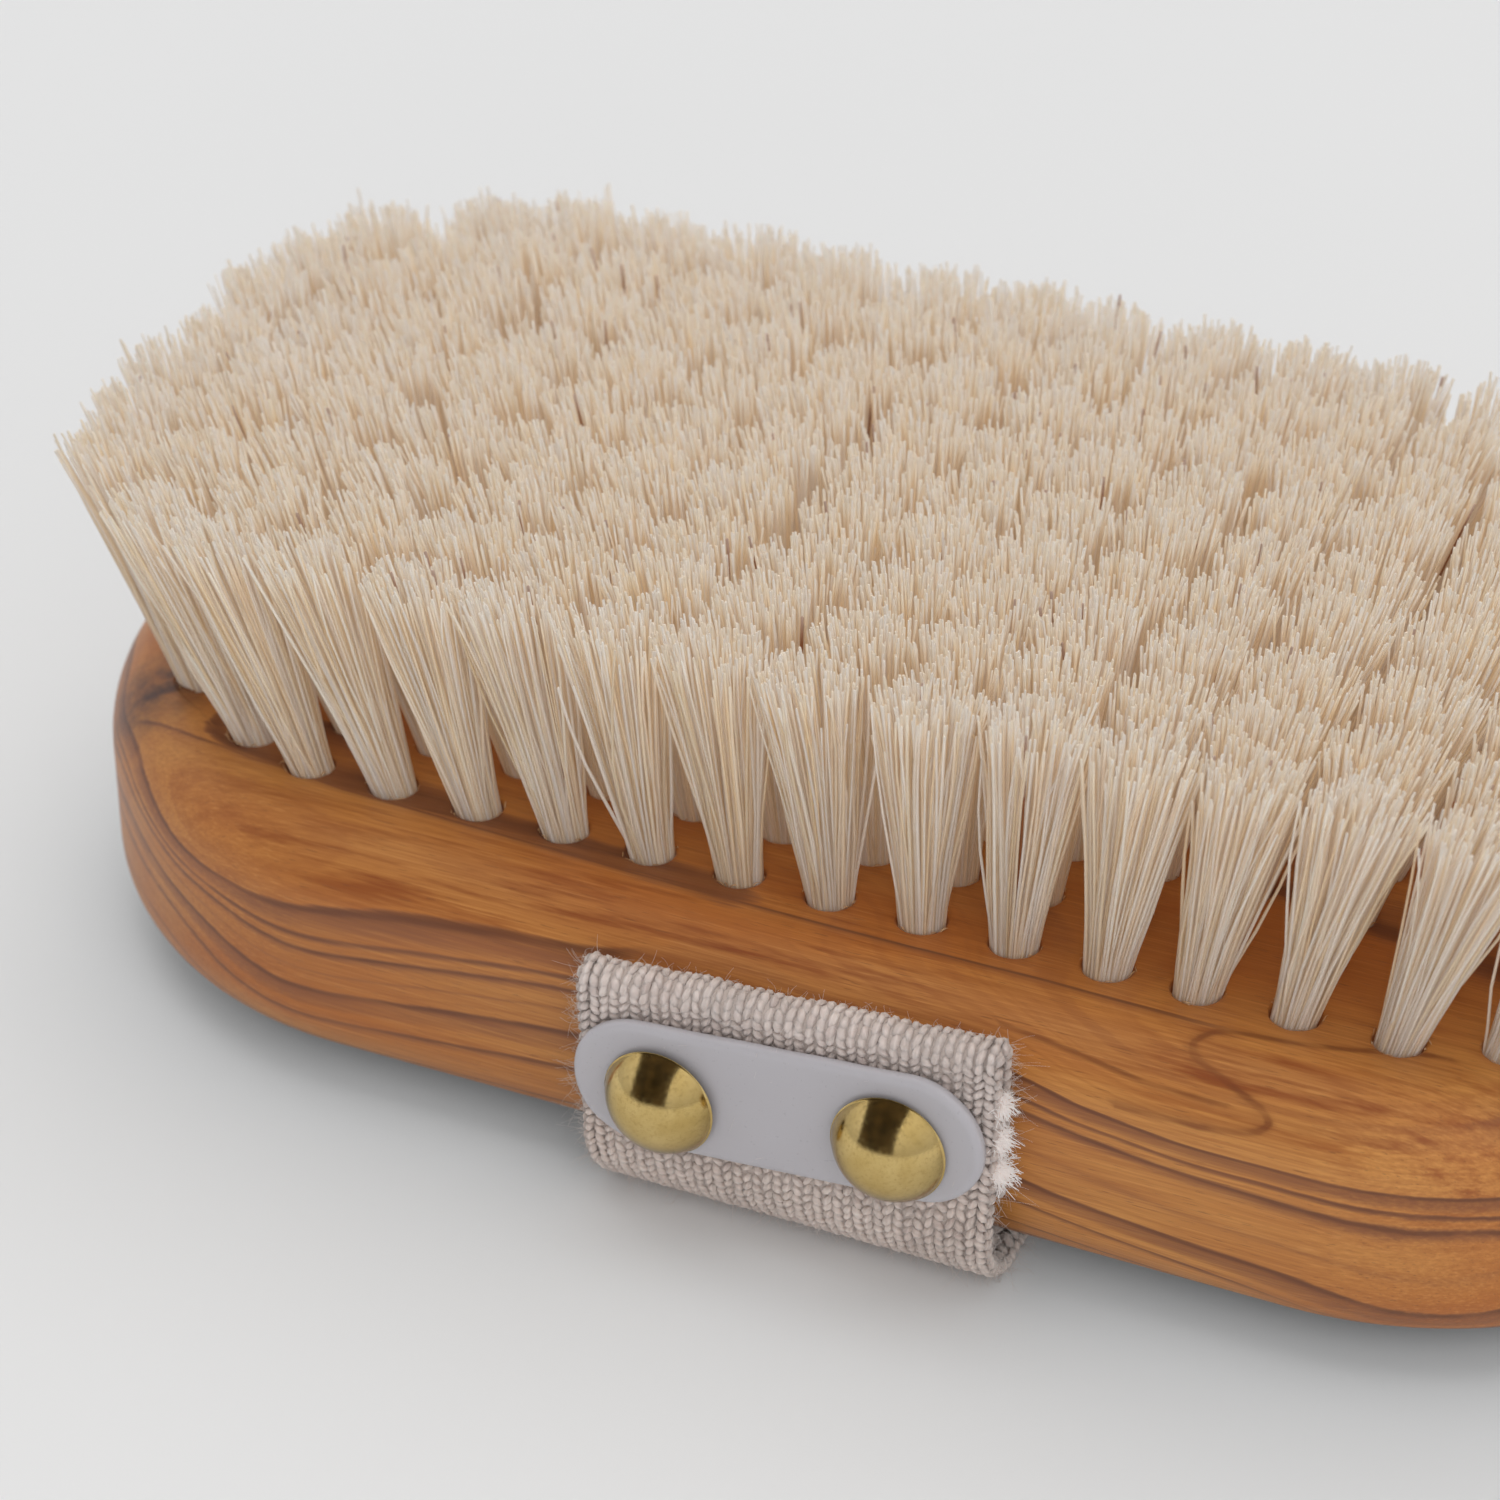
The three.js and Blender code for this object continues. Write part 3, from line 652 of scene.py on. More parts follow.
def grain_solver():
    """Field that passes through the control points: (level, nearness to a drawn line)."""
    points, levels = [], []
    for level, row in GRAIN.items():
        dense = [row[0]]
        for start, stop in zip(row[:-1], row[1:]):
            gap = math.dist(start, stop)
            extra = int(gap // CONTROL_STEP) if gap < CONTROL_GAP else 0
            dense += [tuple(start[i] + (stop[i] - start[i]) * k / (extra + 1) for i in range(3))
                      for k in range(1, extra + 1)]
            dense.append(stop)
        points += dense
        levels += [level] * len(dense)
    points = np.array(points)
    reach = GRAIN_REACH / np.array([1.0, 1.35, 1.35])
    centres = points / reach

    def squares(places):
        return ((places[:, None] - centres[None]) ** 2).sum(-1)

    def kernel(squared):
        return np.exp(-0.5 * squared) + 0.12 * np.exp(-0.5 * squared * 7.0)

    rest = np.array(levels) - points[:, 2] - drift(points)
    smoothing = 0.03 * np.eye(len(points))
    weights = np.linalg.solve(kernel(squares(centres)) + smoothing, rest)

    def field(places):
        bend = np.empty(len(places))
        near = np.empty(len(places))
        batch = 4000
        for first in range(0, len(places), batch):
            part = slice(first, first + batch)
            squared = squares(places[part] / reach)
            bend[part] = kernel(squared) @ weights
            near[part] = np.exp(-squared.min(1) * GRAIN_REACH * GRAIN_REACH
                                / (2 * NEAR_REACH ** 2))
        return places[:, 2] + drift(places) + bend, near
    return field


def line_distance(points, line):
    """Signed distance on the front shoulder to a drawn line, and how surely the line is there."""
    line = np.array(line)
    nearest = np.full(len(points), 1e9)
    sign = np.ones(len(points))
    beyond = np.zeros(len(points))
    out_y = np.minimum(points[:, 1] + TOP_Y, 0)
    out_z = np.where(out_y < 0, np.maximum(points[:, 2] - (HEIGHT - EDGE), 0), 1.0)
    last = len(line) - 2
    for i in range(len(line) - 1):
        run = line[i + 1] - line[i]
        along = ((points - line[i]) @ run) / (run @ run)
        gap = points - (line[i] + np.clip(along, 0, 1)[:, None] * run)
        distance = np.linalg.norm(gap, axis=1)
        cross = np.cross(run, gap)
        side = np.sign(cross[:, 1] * out_y + cross[:, 2] * out_z + 1e-12)
        closer = distance < nearest - 1e-6
        past_end = along < 0 if i == 0 else along > 1 if i == last else False
        nearest = np.where(closer, distance, nearest)
        sign = np.where(closer, side, sign)
        beyond = np.where(closer, past_end, beyond)
    shown = np.clip(1.7 - nearest / 1.4, 0, 1) * (1 - beyond)
    return np.clip(nearest * sign, -2.2, 2.2), shown


def ease(value):
    value = np.clip(value, 0, 1)
    return value ** 2 * (3 - 2 * value)


def seam_lines(points):
    """Distance in y to the thin lines beside the holes, and where they show."""
    x, y, z = points.T
    on_top = ease((z - 19.6) / 1.2)
    front = y - np.interp(x, SEAM_X, SEAM_Y)
    front_shown = on_top * ease((36 - x) / 7) * (y < 0)
    back = y - (32.3 - 0.03 * x * np.sin(x / 40.0))
    back_shown = on_top * ease((60 - np.abs(x)) / 8) * (y > 0)
    distance = np.clip(np.where(y > 0, back, front), -1.9, 1.9)
    return distance, np.where(y > 0, back_shown, front_shown)


def wood_attributes(points):
    x, y, z = points.T
    level, near = grain_solver()(points)
    front = np.clip((-22 - y) / 6, 0, 1) * np.clip((60 - np.abs(x + 4)) / 6, 0, 1)
    waves = 0.55 + 0.45 * np.sin(x / 23.0 + y / 11.0) * np.clip((y + 27) / 6, 0, 1)
    ink = np.maximum(near, waves * (1 - front))
    knot = np.zeros(len(points))
    for knot_x, knot_y, knot_z, radius in KNOTS:
        distance = np.sqrt(((x - knot_x) / 1.15) ** 2 + (y - knot_y) ** 2
                           + ((z - knot_z) * 0.8) ** 2)
        knot = np.maximum(knot, np.clip(1.25 - distance / radius, 0, 1) ** 0.8)
        level = level + 2.6 * np.exp(-(distance / (radius * 1.15)) ** 2)
    warm = np.zeros(len(points))
    for *centre, reach_x, reach_y, reach_z in WARM:
        warm += np.exp(-((x - centre[0]) / reach_x) ** 2 - ((y - centre[1]) / reach_y) ** 2
                       - ((z - centre[2]) / reach_z) ** 2)
    flame, flame_shown = line_distance(points, FLAME_LINE)
    thread, thread_shown = line_distance(points, THREAD_LINE)
    seam, seam_shown = seam_lines(points)
    return dict(grain=level, ink=np.clip(ink, 0, 1), knot=knot, warm=np.clip(warm, 0, 1),
                vee=flame, vee_on=flame_shown, hair=thread, hair_on=thread_shown,
                seam=seam, seamk=seam_shown)


# ---------------------------------------------------------------- tuft places from the CAD rows
TUFT_FOOT_Z = 13.3                      # lower end of the CAD tufts
TUFT_MOUTH_Z = 22.6                     # ring of CAD points just above the block's top
TUFT_SPAN = 3.3                         # points closer than this belong to one tuft
# the front hole of rows 3 to 15 sits a little to the left of the grid
FRONT_SHIFTS = (-0.8, -0.8, -0.75, -0.65, -0.7, -0.6, -0.6, -0.5, -0.45, -0.5, -0.95, -0.8, -0.4)


def close_to(points, place, limit):
    return np.hypot(*(points - place).T) < limit


def centre_of(points):
    return (points.max(0) + points.min(0)) / 2


def row_tufts(node):
    """(x, y at the block's top, lean in x, lean in y) of each tuft of a row, front to back."""
    verts = cad_verts(node)
    feet = verts[verts[:, 2] < TUFT_FOOT_Z + 0.25]
    mouths = verts[np.abs(verts[:, 2] - TUFT_MOUTH_Z) < 0.05][:, :2]
    tufts = []
    while len(feet):
        foot_z = feet[0, 2]
        own = close_to(feet[:, :2], feet[0, :2], TUFT_SPAN)
        foot = centre_of(feet[own][:, :2])
        feet = feet[~own]
        around = mouths[close_to(mouths, foot, 4.6)]
        # the mouth ring of this tuft is the one nearest to its foot
        rings = [centre_of(around[close_to(around, point, TUFT_SPAN)]) for point in around]
        mouth = min(rings, key=lambda centre: np.hypot(*(centre - foot)))
        lean = (mouth - foot) / (TUFT_MOUTH_Z - foot_z)
        top = foot + lean * (HEIGHT - foot_z)
        tufts.append((*top, *lean))
    return sorted(tufts, key=lambda tuft: tuft[1])


ROWS = sorted(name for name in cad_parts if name.startswith("bristle_row_"))
ROW_TUFTS = {name: row_tufts(name) for name in ROWS}
for name, shift in zip(ROWS[2:15], FRONT_SHIFTS):
    x, *others = ROW_TUFTS[name][0]
    ROW_TUFTS[name][0] = (x + shift, *others)
TUFTS = np.array([tuft for name in ROWS for tuft in ROW_TUFTS[name]])


# ---------------------------------------------------------------- wooden block
HOLE_SIDES = 28
RIM_R = HOLE_R + 0.34                   # where the flat top ends round a hole
HOLE_ANGLES = np.arange(HOLE_SIDES) * 2 * np.pi / HOLE_SIDES
HOLE_CIRCLE = np.c_[np.cos(HOLE_ANGLES), np.sin(HOLE_ANGLES)]
# Hole profile from the rim down: (added radius, depth).
HOLE_PROFILE = [(0.20, 0.025), (0.09, 0.10), (0.02, 0.24), (0.0, 0.5), (0.0, 2.2),
                (0.0, HEIGHT - HOLE_BOTTOM)]
BACK_SCALES = (0.97, 0.93, 0.88, 0.82, 0.75, 0.67, 0.58, 0.48, 0.37, 0.25, 0.12)


def top_outline(end_count=120, side_count=90):
    """Outline of the flat top with its outward normals: elliptic ends, straight sides."""
    straight_x = TOP_X - TOP_RX
    points, normals = [], []
    for sign in (1, -1):
        first, last = (-np.pi / 2, np.pi / 2) if sign > 0 else (np.pi / 2, 1.5 * np.pi)
        angle = np.linspace(first, last, end_count)
        cos, sin = np.cos(angle), np.sin(angle)
        points.append(np.c_[sign * straight_x + TOP_RX * cos, TOP_Y * sin])
        normals.append(unit(np.c_[cos / TOP_RX, sin / TOP_Y]))
        x = np.linspace(sign * straight_x, -sign * straight_x, side_count)[1:-1]
        points.append(np.c_[x, np.full(len(x), sign * TOP_Y)])
        normals.append(np.tile([0.0, float(sign)], (len(x), 1)))
    return np.concatenate(points), np.concatenate(normals)


def hole_distance(points):
    """Distance from each point to the nearest hole's axis at the top."""
    return np.hypot(points[:, :1] - TUFTS[:, 0], points[:, 1:] - TUFTS[:, 1]).min(1)


def top_filling():
    """Points spread over the flat top, clear of its outline and of the holes."""
    x, y = np.meshgrid(np.arange(-66, 66.1, 1.1), np.arange(-31, 31.1, 0.95))
    grid = np.c_[x.ravel(), y.ravel()]
    grid[:, 0] += (np.arange(len(grid)) % 2) * 0.2
    margin = 0.7
    end_x = np.clip(np.abs(grid[:, 0]) - (TOP_X - TOP_RX), 0, None) / (TOP_RX - margin)
    grid = grid[end_x ** 2 + (grid[:, 1] / (TOP_Y - margin)) ** 2 < 1]
    return grid[hole_distance(grid) > RIM_R + 0.45]


def triangulate_top(outline):
    """Flat top with its holes: points, index of each given point, triangles facing up."""
    rings = [outline] + [tuft[:2] + HOLE_CIRCLE * RIM_R for tuft in TUFTS]
    edges = []
    start = 0
    for ring in rings:
        count = len(ring)
        edges += [(start + i, start + (i + 1) % count) for i in range(count)]
        start += count
    points = [Vector(point) for point in np.concatenate(rings + [top_filling()])]
    result = delaunay_2d_cdt(points, edges, [], 0, 1e-5, True)
    top = np.array([tuple(point) for point in result[0]])
    index_of = {source: i for i, sources in enumerate(result[3]) for source in sources}
    tris = np.array([face for face in result[2] if len(face) == 3])
    tris = tris[hole_distance(top[tris].mean(1)) > RIM_R * 0.985]
    side_1 = top[tris[:, 1]] - top[tris[:, 0]]
    side_2 = top[tris[:, 2]] - top[tris[:, 0]]
    down = (side_1[:, 0] * side_2[:, 1] - side_1[:, 1] * side_2[:, 0]) < 0
    tris[down] = tris[down][:, ::-1]
    return top, index_of, tris


def side_rings():
    """(distance out from the flat top's outline, z) down the side of the block."""
    arc = [math.radians(angle) for angle in np.linspace(0, 90, 15)]
    upper = [(EDGE * math.cos(a), HEIGHT - EDGE * (1 - math.sin(a))) for a in arc[-2::-1]]
    straight = [(EDGE, z) for z in np.linspace(HEIGHT - EDGE, EDGE, 8)[1:]]
    lower = [(EDGE * math.cos(a), EDGE * (1 - math.sin(a))) for a in arc[1:]]
    return upper + straight + lower


def build_block():
    outline, normals = top_outline()
    top, index_of, top_tris = triangulate_top(outline)
    verts = [np.c_[top, np.full(len(top), HEIGHT)]]
    count = len(top)
    quads, tris = [], [top_tris]

    def add_points(points):
        nonlocal count
        verts.append(points)
        count += len(points)
        return np.arange(count - len(points), count)

    wobble = rng.normal(0, 0.025, (len(TUFTS), HOLE_SIDES))
    for t, (x, y, lean_x, lean_y) in enumerate(TUFTS):
        first = len(outline) + t * HOLE_SIDES
        upper = np.array([index_of[first + i] for i in range(HOLE_SIDES)])
        for k, (widening, depth) in enumerate(HOLE_PROFILE):
            radius = HOLE_R + widening + (wobble[t] if 0 < k < 5 else 0)
            lower = add_points(np.c_[x - lean_x * depth + HOLE_CIRCLE[:, 0] * radius,
                                     y - lean_y * depth + HOLE_CIRCLE[:, 1] * radius,
                                     np.full(HOLE_SIDES, HEIGHT - depth)])
            quads.append(bridge(upper, lower)[:, REVERSED])
            upper = lower
        tip, = add_points(np.array([[x - lean_x * depth, y - lean_y * depth,
                                     HOLE_BOTTOM - 0.4]]))
        tris.append(np.c_[upper, np.roll(upper, -1), np.full(HOLE_SIDES, tip)])

    size = len(outline)
    upper = np.array([index_of[i] for i in range(size)])
    rings = [np.c_[outline + normals * out, np.full(size, z)] for out, z in side_rings()]
    rings += [np.c_[outline * scale, np.zeros(size)] for scale in BACK_SCALES]
    for ring in rings:
        lower = add_points(ring)
        quads.append(bridge(upper, lower))
        upper = lower
    middle, = add_points(np.array([[0, 0, 0.0]]))
    tris.append(np.c_[upper, np.full(size, middle), np.roll(upper, -1)])
    verts = np.concatenate(verts)
    block = make_mesh("block_olive_wood", verts, np.concatenate(quads), np.concatenate(tris),
                      WOOD, floats=wood_attributes(verts))
    on_brush(block, "olive_wood", "wooden_block")


def build_burrs():
    """Small torn wood fibres round the mouths of the drilled holes."""
    paths = []
    along = np.linspace(0, 1, 4)[:, None]
    for x, y, _, _ in TUFTS:
        for _ in range(int(rng.integers(6, 13))):
            angle = rng.uniform(0, 2 * np.pi)
            radius = HOLE_R + rng.uniform(0.02, 0.22)
            cos, sin = np.cos(angle), np.sin(angle)
            root = np.array([x + radius * cos, y + radius * sin, HEIGHT - 0.06])
            tangent = np.array([-sin, cos, 0]) * rng.choice([-1, 1])
            outward = np.array([cos, sin, 0])
            length = rng.uniform(0.25, 0.85)
            lift = rng.uniform(0.05, 0.35)
            curl = rng.uniform(-0.05, 0.25)
            paths.append(root + tangent * along * length + outward * (along ** 2) * curl * length
                         + np.array([0, 0, 1]) * np.sin(along * 2.2) * lift)
    paths = np.array(paths)
    radii = np.full(paths.shape[:2], 0.045) * rng.uniform(0.6, 1.5, (len(paths), 1))
    radii[:, -1] *= 0.3
    on_brush(make_mesh("hole_rim_fibres", *fibres(paths, radii), BURR), "olive_wood")


build_block()
build_burrs()


# ---------------------------------------------------------------- bristles
ROOT_R = 1.80                           # radius of a tuft in its hole
GOLDEN_ANGLE = 2.399963
# Places along a bristle: 0 at the block's top, 1 at the tip, negative inside the hole.
STATIONS = np.array([-0.38, -0.06, 0.10, 0.30, 0.52, 0.74, 0.90, 1.0])
OUTSIDE = np.clip(STATIONS, 0, 1)
IVORY = np.array([0.97, 0.93, 0.865])
STRAW = np.array([0.94, 0.85, 0.67])
WHITE = np.array([0.97, 0.95, 0.91])
RED_BROWN = np.array([0.40, 0.17, 0.07])
TIP_CENTRES = TUFTS[:, :2] + TUFTS[:, 2:] * BRISTLE_LENGTH


def tip_reach(tip):
    """How far a tuft's tips spread to +x, -x, +y, -y before they meet the next tuft's."""
    offsets = TIP_CENTRES - tip
    distance = np.hypot(offsets[:, 0], offsets[:, 1])
    reaches = []
    for axis in ((1, 0), (-1, 0), (0, 1), (0, -1)):
        cosine = (offsets @ np.array(axis)) / (distance + 1e-9)
        beside = (distance > 1.0) & (cosine > 0.80) & (distance < 13.0)
        reaches.append(min(distance[beside].min() * 0.545, 5.8) if beside.any() else 4.35)
    return reaches


def bristle_colors(count, white_share, rs):
    """Ivory to straw, with some white ones and a few reddish brown ones."""
    blend = rs.beta(2.0, 2.2, count)[:, None]
    color = IVORY * (1 - blend) + STRAW * blend
    color = np.where((rs.random(count) < white_share)[:, None], WHITE, color)
    color = np.where((rs.random(count) < 0.006)[:, None], RED_BROWN, color)
    return np.clip(color * rs.uniform(0.92, 1.05, (count, 1)), 0, 0.985)


def build_tuft(tuft, at_row_end, rs):
    """Paths, radii and colours of one tuft's bristles."""
    x, y, lean_x, lean_y = tuft
    count = int(rs.integers(178, 196))
    order = np.arange(count) + 0.5
    angle = order * GOLDEN_ANGLE + rs.uniform(0, 6.28)
    radius = np.clip(np.sqrt(order / count) + rs.normal(0, 0.03, count), 0, 1.0)
    disc = np.c_[radius * np.cos(angle), radius * np.sin(angle)]
    tuft_height = BRISTLE_LENGTH - 0.35 + rs.normal(0, 0.22)

    # tips spread to the neighbours and gather in a few loose locks
    right, left, back, front = tip_reach(
        np.array([x + lean_x * BRISTLE_LENGTH, y + lean_y * BRISTLE_LENGTH]))
    half_x, half_y = (right + left) / 2, (back + front) / 2
    tips = disc * rs.uniform(0.95, 1.04)
    tips[:, 0] *= np.where(tips[:, 0] > 0, right, left)
    tips[:, 1] *= np.where(tips[:, 1] > 0, back, front)
    lock_count = int(rs.integers(4, 8))
    locks = np.c_[rs.uniform(-1, 1, lock_count) * half_x * 0.8,
                  rs.uniform(-1, 1, lock_count) * half_y * 0.8]
    nearest = locks[((tips[:, None] - locks[None]) ** 2).sum(-1).argmin(1)]
    pull = rs.uniform(0.0, 0.30, count)[:, None]
    tips = tips + (nearest - tips) * pull + rs.normal(0, 0.34, (count, 2))
    shift = rs.normal(0, 0.33, 2)
    tips = tips + shift
    # loose bristles leave the tuft
    stray = rs.random(count) < (0.07 if at_row_end else 0.035)
    away = unit(rs.normal(0, 1, (count, 2)))
    tips = tips + np.where(stray[:, None], away * rs.uniform(0.8, 2.4, (count, 1)), 0)

    # heights fall off towards the rim; a few bristles are short or tall
    rim = np.linalg.norm((tips - shift) / np.array([half_x, half_y]), axis=1)
    height = tuft_height - 0.75 * rim ** 2.2 + rs.normal(0, 0.38, count)
    short = rs.random(count) < 0.05
    height = np.where(short, height - rs.uniform(0.8, 5.0, count), height)
    tall = rs.random(count) < 0.025
    height = np.where(tall, height + rs.uniform(0.3, 1.1, count), height)
    height = np.minimum(height, BRISTLE_LENGTH + 1.3)

    # sideways course from root to tip, with a C bend and an S bend
    c_bend = rs.normal(0, 0.17, (count, 2)) * np.where(stray, 3.2, 1.0)[:, None]
    s_bend = rs.normal(0, 0.10, (count, 2))
    flare = (OUTSIDE[None] ** rs.uniform(1.05, 1.35, count)[:, None])[..., None]
    aside = (disc * ROOT_R)[:, None, :] * (1 - flare) + tips[:, None, :] * flare
    aside[:, STATIONS < 0] = (disc * ROOT_R * 0.93)[:, None, :]
    along = OUTSIDE[None, :, None]
    aside = (aside + c_bend[:, None, :] * np.sin(np.pi * along)
             + s_bend[:, None, :] * np.sin(2 * np.pi * along))
    z = HEIGHT + STATIONS[None] * height[:, None]
    z = np.maximum(z, HOLE_BOTTOM + 0.35)
    paths = np.stack([x + lean_x * (z - HEIGHT) + aside[..., 0],
                      y + lean_y * (z - HEIGHT) + aside[..., 1], z], -1)
    taper = np.interp(STATIONS, [0.3, 1.0], [1.0, 0.80])
    radii = rs.uniform(0.100, 0.165, count)[:, None] * taper
    white_share = 0.45 if at_row_end or abs(x) > 55 else 0.22
    return paths, radii, bristle_colors(count, white_share, rs)


def build_bristles(node, seed):
    rs = np.random.default_rng(seed)
    tufts = ROW_TUFTS[node]
    parts = [build_tuft(tuft, i in (0, len(tufts) - 1), rs) for i, tuft in enumerate(tufts)]
    paths, radii, colors = (np.concatenate(part) for part in zip(*parts))
    phase = rs.uniform(0, 1.57, len(paths))
    row = make_mesh("bristles_" + node[-2:], *fibres(paths, radii * 1.08, phase), BRISTLE,
                    floats={"along": np.tile(np.repeat(OUTSIDE, 3), len(paths))},
                    colors={"tint": np.repeat(colors, len(STATIONS) * 3, axis=0)})
    on_brush(row, "bristle", node)


for i, name in enumerate(ROWS):
    build_bristles(name, seed=1000 + i)


# ---------------------------------------------------------------- hand strap
# Each half runs from a cut end tucked against the block, up, over a fold, down outside,
# round a bend and under the back to the middle. `s` is the length along it from the cut end.
# `side` is -1 for the front half and 1 for the back half.
STRAP_T = 1.4
LAYER_GAP = 0.3
END_LO, END_HI = cad_box("strap_front_end")
PALM_LO, PALM_HI = cad_box("strap_palm")
PLATE_LO, PLATE_HI = cad_box("front_plate")
STRAP_X = (END_LO[0] + END_HI[0]) / 2
END_W = END_HI[0] - END_LO[0]
PALM_W = PALM_HI[0] - PALM_LO[0]
Y_OUT = PALM_HI[1] - STRAP_T / 2        # middle of the outer layer
Y_IN = Y_OUT - STRAP_T - LAYER_GAP      # middle of the inner layer
FOLD_R = (Y_OUT - Y_IN) / 2
FOLD_Z = END_HI[2] - STRAP_T / 2 - FOLD_R
PALM_Z = PALM_LO[2] + STRAP_T / 2
BEND_R = 6.3
CUT_Z = 7.2
FOLD_START, FOLD_END, BEND_START, BEND_END, STRAP_END = np.cumsum([
    FOLD_Z - CUT_Z, math.pi * FOLD_R, FOLD_Z - (PALM_Z + BEND_R), math.pi / 2 * BEND_R,
    Y_OUT - BEND_R])

CORE_HALF = 0.47                        # half thickness of the band inside the stitches
CORE_COLUMNS = 41
STITCH_PITCH = 0.80
STITCH_RINGS, STITCH_SIDES = 5, 6
# Stitched faces: first s, last s, face (1 outer, -1 inner), columns, stitch size.
STITCHED = [
    (FOLD_START - 1.2, STRAP_END + 0.2, 1.0, 40, 1.0),
    (BEND_START - 5.0, STRAP_END + 0.2, -1.0, 27, 1.4),
    (-0.2, 6.0, 1.0, 27, 1.4),
]
# Frayed tufts at the front half's right edge: z, fibre count, reach.
FRAYS = [(17.0, 170, 0.9), (13.9, 190, 1.0), (10.8, 240, 1.2)]


def strap_path(s):
    """Distance from the middle plane, z, and the outward normal, at length s."""
    fold = np.pi - (s - FOLD_START) / FOLD_R
    bend = -(s - BEND_START) / BEND_R
    parts = [s < FOLD_START, s < FOLD_END, s < BEND_START, s < BEND_END]
    y = np.select(parts, [Y_IN, (Y_IN + Y_OUT) / 2 + FOLD_R * np.cos(fold), Y_OUT,
                          Y_OUT - BEND_R + BEND_R * np.cos(bend)],
                  Y_OUT - BEND_R - (s - BEND_END))
    z = np.select(parts, [CUT_Z + s, FOLD_Z + FOLD_R * np.sin(fold), FOLD_Z - (s - FOLD_END),
                          PALM_Z + BEND_R + BEND_R * np.sin(bend)], PALM_Z)
    normal_y = np.select(parts, [-1.0, np.cos(fold), 1.0, np.cos(bend)], 0.0)
    normal_z = np.select(parts, [0.0, np.sin(fold), 0.0, np.sin(bend)], -1.0)
    return y, z, normal_y, normal_z


def half_width(s):
    widths = np.array([END_W, END_W + 0.3, END_W, PALM_W + 0.5, PALM_W])
    return np.interp(s, [0, FOLD_END, FOLD_END + 6, BEND_START, BEND_END], widths / 2)


def puff(s, x, z):
    """How far the outer layer swells away from the part pressed by the plate."""
    radius = (PLATE_HI[2] - PLATE_LO[2]) / 2
    centre_x, _, centre_z = (PLATE_LO + PLATE_HI) / 2
    half_x = (PLATE_HI[0] - PLATE_LO[0]) / 2 - radius
    beside = np.clip(np.abs(x - centre_x) - half_x, 0, None)
    swell = 0.28 * ease((np.hypot(beside, z - centre_z) - radius) / 2.2)
    swell = np.where((s > FOLD_START) & (s < BEND_END), swell, 0.0)
    rising = np.clip((s - FOLD_START) / (math.pi * FOLD_R * 0.5), 0, 1)
    return swell * np.where(s > FOLD_END, 1.0, rising)


def strap_point(s, x, out, side):
    """Point of the webbing: s along it, x across it, out from its middle surface."""
    y, z, normal_y, normal_z = strap_path(s)
    out = out + puff(s, x, z)
    wave = 0.10 * np.sin(x * 0.55 + side) + 0.07 * np.sin(x * 1.3 + 2 * side)
    wave = wave * np.exp(-((s - (FOLD_START + FOLD_END) / 2) / 4.0) ** 2)
    # the end sits a little askew
    skew = (0.058 if side < 0 else -0.018) * x * np.clip((z - 4.0) / 10.0, 0, 1)
    return np.stack([STRAP_X + x, side * (y + normal_y * out),
                     z + normal_z * out + wave + skew], -1)


def squeeze(s, face):
    """Stitches on the outer face sit closer along the middle line round a bend."""
    factor = np.where((s > FOLD_START) & (s < FOLD_END), FOLD_R / (FOLD_R + 0.55),
                      np.where((s > BEND_START) & (s < BEND_END), BEND_R / (BEND_R + 0.5), 1.0))
    return np.where(face > 0, factor, 1.0)


def strap_core(side):
    """Plain band under the stitches: verts, list of quads."""
    stations = np.unique(np.concatenate([
        np.linspace(0, FOLD_START, 16), np.linspace(FOLD_START, FOLD_END, 13),
        np.linspace(FOLD_END, BEND_START, 44), np.linspace(BEND_START, BEND_END, 13),
        np.linspace(BEND_END, STRAP_END, 50)]))
    across = np.linspace(-1, 1, CORE_COLUMNS)
    across = np.concatenate([across, across[::-1]])
    out = np.repeat([CORE_HALF, -CORE_HALF], CORE_COLUMNS)
    out = out * np.clip(1.12 - np.abs(across) ** 14, 0.25, 1.0)
    s, across = np.meshgrid(stations, across, indexing="ij")
    x = across * (half_width(s) - 0.12)
    verts = strap_point(s.ravel(), x.ravel(), np.tile(out, len(stations)), side)
    ring = 2 * CORE_COLUMNS
    quads = ring_quads(len(stations), ring)
    if side > 0:
        quads = quads[:, ::-1]
    quads = [quads]
    column = np.arange(CORE_COLUMNS - 1)
    for start, at_middle in ((0, False), ((len(stations) - 1) * ring, True)):
        cap = start + np.stack([column, ring - 1 - column, ring - 2 - column, column + 1], -1)
        quads.append(cap[:, ::-1] if at_middle != (side > 0) else cap)
    return verts, quads


def stitch_places(rs):
    """Columns: s, place across (-1 to 1), face (0 on an edge), slant sign, draw, size."""
    rows = []

    def add_column(s, across, face, slant, size):
        draws = rs.normal(0, 1, len(s))
        fixed = [np.full(len(s), value) for value in (across, face, slant)]
        rows.append(np.c_[s, *fixed, draws, np.full(len(s), size)])

    for first, last, face, columns, size in STITCHED:
        s = [first]
        while s[-1] < last:
            s.append(s[-1] + STITCH_PITCH * size * squeeze(s[-1], face))
        s = np.array(s[:-1])
        for c in range(columns):
            stagger = 0.5 * STITCH_PITCH * size * squeeze(s, face) if (c // 2) % 2 else 0
            own_s = np.clip(s + stagger + rs.normal(0, 0.05, len(s)), 0.1, STRAP_END)
            add_column(own_s, (c + 0.5) / columns * 2 - 1, face, 1.0 if c % 2 else -1.0, size)
    for edge in (-1.0, 1.0):
        add_column(np.arange(0.3, STRAP_END, 0.92), edge, 0.0, 1.0, 1.0)
    return np.concatenate(rows)


